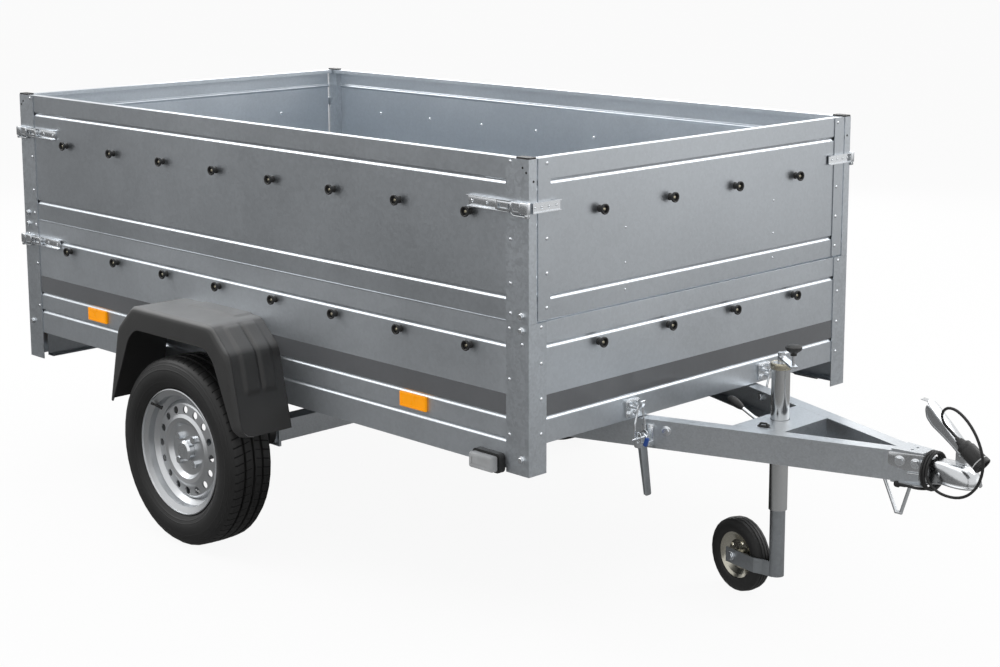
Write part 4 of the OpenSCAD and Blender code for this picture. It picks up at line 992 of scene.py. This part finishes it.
lever_face = rounded([(-12, 12), (12, 12), (13, -20), (11.5, -139), (-11.5, -139), (-13, -20)], 6, 3, closed=True)
lever_face = moved(soften(plate(lever_face, 3), 1.2), put(6, rx=90, rz=90))
flank = rounded([(-4, 12), (7.5, 12), (7.5, -134), (3, -136), (-1, -20)], 3, 2, closed=True)
flanks = [moved(plate(flank, 2.4), put(y=y, rx=90)) for y in (-9.4, 11.8)]
levers = moved(joined(lever_face, *flanks), put(HOOK_X + 4, -HOOK_Y, TOGGLE_Z) @ put(ry=TOGGLE_TILT))
dark_zinc = galvanised("dark_zinc", (0.36, 0.382, 0.40), 0.36, 160, 0.10, relief=0.02)
done("toggle_levers", pair(levers), dark_zinc, "chassis", "zinc_plated", "hold_down_latches")
ear = rounded([(-6, -14), (14, -14), (18, 0), (16, 24), (6, 30), (-6, 24)], 5, 3, closed=True)
ears = [moved(soften(plate(ear, 3), 0.6), put(HOOK_X, -HOOK_Y + y, TOGGLE_Z, rx=90)) for y in (-12.2, 15.2)]
pins = [rod([(HOOK_X + x, -HOOK_Y - w, TOGGLE_Z + z), (HOOK_X + x, -HOOK_Y + w, TOGGLE_Z + z)], 4)
        for x, z, w in ((4, 0, 18), (0, 10, 24))]
bridge = block((HOOK_X - 4, HOOK_X + 18), (-HOOK_Y + 12, -HOOK_Y + 33), (TOGGLE_Z - 14, TOGGLE_Z), 1.5)
base = moved(soften(plate(box_outline(34, 58, 6), 5), 0.8), on_arm(25, 463, 0.2))
toggle = joined(*ears, *pins, bridge, base)
done("toggle_brackets", pair(toggle), bright_zinc, "chassis", "zinc_plated")

pin_ring = [(HOOK_X + 21 + 15 * math.cos(a), -HOOK_Y - 14, TOGGLE_Z + 16 + 13 * math.sin(a))
            for a in (k * math.tau / 20 for k in range(20))]
pin = rod([(HOOK_X + 12, -HOOK_Y - 44, TOGGLE_Z + 14), (HOOK_X + 12, -HOOK_Y + 22, TOGGLE_Z + 14)], 2.2)
done("pin_ring", joined(pin, rod(pin_ring, 1.5, closed=True)), bright_zinc, "chassis", "zinc_plated")
blue_plastic = moulded("blue_plastic", (0.015, 0.07, 0.32), 0.4, 600)
clip = moved(block((-5, 5), (-5, 5), (-12, 12), 2.5, 3), put(HOOK_X + 34, -HOOK_Y - 14, TOGGLE_Z + 8, ry=20))
done("pin_clip", clip, blue_plastic, "chassis", "black_plastic")


# Jockey wheel: a zinc-plated tube in a clamp, with a crank and its black knob on top, a rolled collar round the
# tube's end, a pear-shaped grip on the clamp's lever, and a ribbed solid tyre on a yellow-passivated disc.
JOCKEY_X, TUBE_TOP, AXLE_NUT = 262, 652, 34.6
CRANK_KNOB = (328, -38, 687)
disc_zinc = galvanised("disc_zinc", (0.52, 0.50, 0.43), 0.2, 200, 0.05, relief=0.01)
tube_zinc = galvanised("tube_zinc", (0.66, 0.672, 0.675), 0.17, 300, 0.03, relief=0.004)
dress(dark_zinc, "jockey_leg")
dress(disc_zinc, "jockey_rim")
dress(tube_zinc, "jockey_tube")
knob = turned([(0, 0), (8, 0), (8.4, 6), (13, 9.5), (19, 14), (22, 19), (21.4, 23), (16, 26.6), (6, 28.6),
               (0, 28.8)], 14)
done("crank_knob", moved(knob, put(*CRANK_KNOB)), black_plastic, "chassis", "black_plastic", "jockey_knob", crease=24)
collar = turned([(25.9, -16.5), (26.8, -16), (27.4, -13), (27.4, -3), (26.6, 0.4), (23, 1), (21, 0.2), (21, -1),
                 (25.9, -16.5)], 32)
done("tube_collar", moved(collar, put(JOCKEY_X, 0, TUBE_TOP)), yellow_zinc, "chassis", "zinc_plated")
grip = turned([(0, 89), (5.6, 89), (7, 92), (9.4, 99), (11.4, 108), (12.2, 117), (11, 127), (8, 134), (4, 138.4),
               (0, 139.4)], 20)
done("clamp_grip", moved(grip, put(JOCKEY_X - 44, 14, 463, ry=-60, rz=10)), black_plastic, "chassis", "black_plastic",
     "jockey_clamp_grip")

JOCKEY_WHEEL, JOCKEY_AXIS = Vector((124.57, 26.71, 100)), Vector((0.190809, 0.981627, 0))
wheel_aim = Matrix.Translation(JOCKEY_WHEEL) @ JOCKEY_AXIS.to_track_quat("Z", "Y").to_matrix().to_4x4()
shoulder = [(62.4, -20), (72, -24.6), (89, -23.6), (97.6, -18)]
ribs = [(99.2, -11), (97, -9.5), (99.6, -8), (99.9, -1.5), (97.4, 0), (99.9, 1.5), (99.6, 8), (97, 9.5), (99.2, 11)]
solid_tyre = turned(shoulder + ribs + [(r, -w) for r, w in reversed(shoulder)] + [shoulder[0]], 28)
solid_rubber = moulded("solid_rubber", grey(0.012), 0.5, 500)
moved(solid_tyre, wheel_aim)
done("jockey_tyre_ribbed", solid_tyre, solid_rubber, "jockey_wheel", "tyre", "jockey_tyre", crease=32)
axle_nuts = repeated(hexagon_bolt(19, 12), [wheel_aim @ put(z=AXLE_NUT), wheel_aim @ put(z=-AXLE_NUT, rx=180)])
done("jockey_axle_nuts", axle_nuts, bright_zinc, "jockey_leg", "zinc_plated", crease=BOLT_CREASE)


# Lamps and reflectors: clear plastic lenses over small prisms, with a smooth border. Amber reflectors are stuck to
# the sides, white marker lamps stand on rubber arms in front, and three-colour lamps hang under the rear.
NEXT_REFLECTOR = -1465
reflector = windowed(block((-465, -365), (-660.6, -652.6), (527, 567), 2.5, 3), (0, -1, 0), 3.5, 1.0)
reflectors = repeated(reflector, [put(), put(NEXT_REFLECTOR)])
done("reflector_lenses", pair(reflectors), amber_lens, "bed", "amber_plastic",
     "side_reflectors")
marker = windowed(block((-174, -90), (-692.8, -670), (431.2, 470.8), 6, 4), (0, -1, 0), 5, 1.2)
done("marker_lenses", pair(marker), clear_lens, "bed", "white_plastic", "front_lamp_lenses")

TAIL_BACK, TAIL_LENS = -2288.2, -2280.4
housing = block((TAIL_LENS, -2250.4), (-583, -393), (374, 464), 6, 4)
done("tail_housings", pair(housing), black_plastic, "bed", "black_plastic", "tail_lamps")
for name, lens, slot, y in (("amber", amber_lens, "amber_plastic", (-577, -523)),
                            ("red", red_lens, "red_plastic", (-522.4, -446.6)),
                            ("clear", clear_lens, "white_plastic", (-446, -399))):
    glass = windowed(block((TAIL_BACK, TAIL_LENS + 0.4), y, (380, 458), 2.5, 3), (-1, 0, 0), 3.5, 0.8)
    done("tail_lenses_" + name, pair(glass), lens, "bed", slot)


# Small fasteners on the drawbar: bolts through the arms' webs by the hold-downs and at the cross plate,
# and a black cable clip on the cross plate's edge.
outer_bolt = moved(hexagon_bolt(17, 13), on_arm(72, 478, 0.1))
inner_bolts = repeated(hexagon_bolt(17, 11), [on_arm(x, z, -4.2) @ put(rx=180) for x, z in ((20, 472), (230, 455))])
web_bolts = joined(outer_bolt, inner_bolts)
done("drawbar_bolts", pair(web_bolts), bright_zinc, "chassis", "zinc_plated", crease=BOLT_CREASE)
clip_base = block((-15, 15), (-7, 7), (0, 3), 1)
clip_arch = rod(rounded([(-9, 0, 1), (-9, 0, 8), (9, 0, 8), (9, 0, 1)], 4), 2.6)
clip_pin = moved(turned([(0, 2), (5, 2), (5, 5), (3, 6.6), (0, 7)], 12), put(x=12))
cable_clip = moved(joined(clip_base, clip_arch, clip_pin), put(277, -88, 503.2, rz=ARM_TURN))
done("cable_clip", cable_clip, black_plastic, "chassis", "black_plastic")
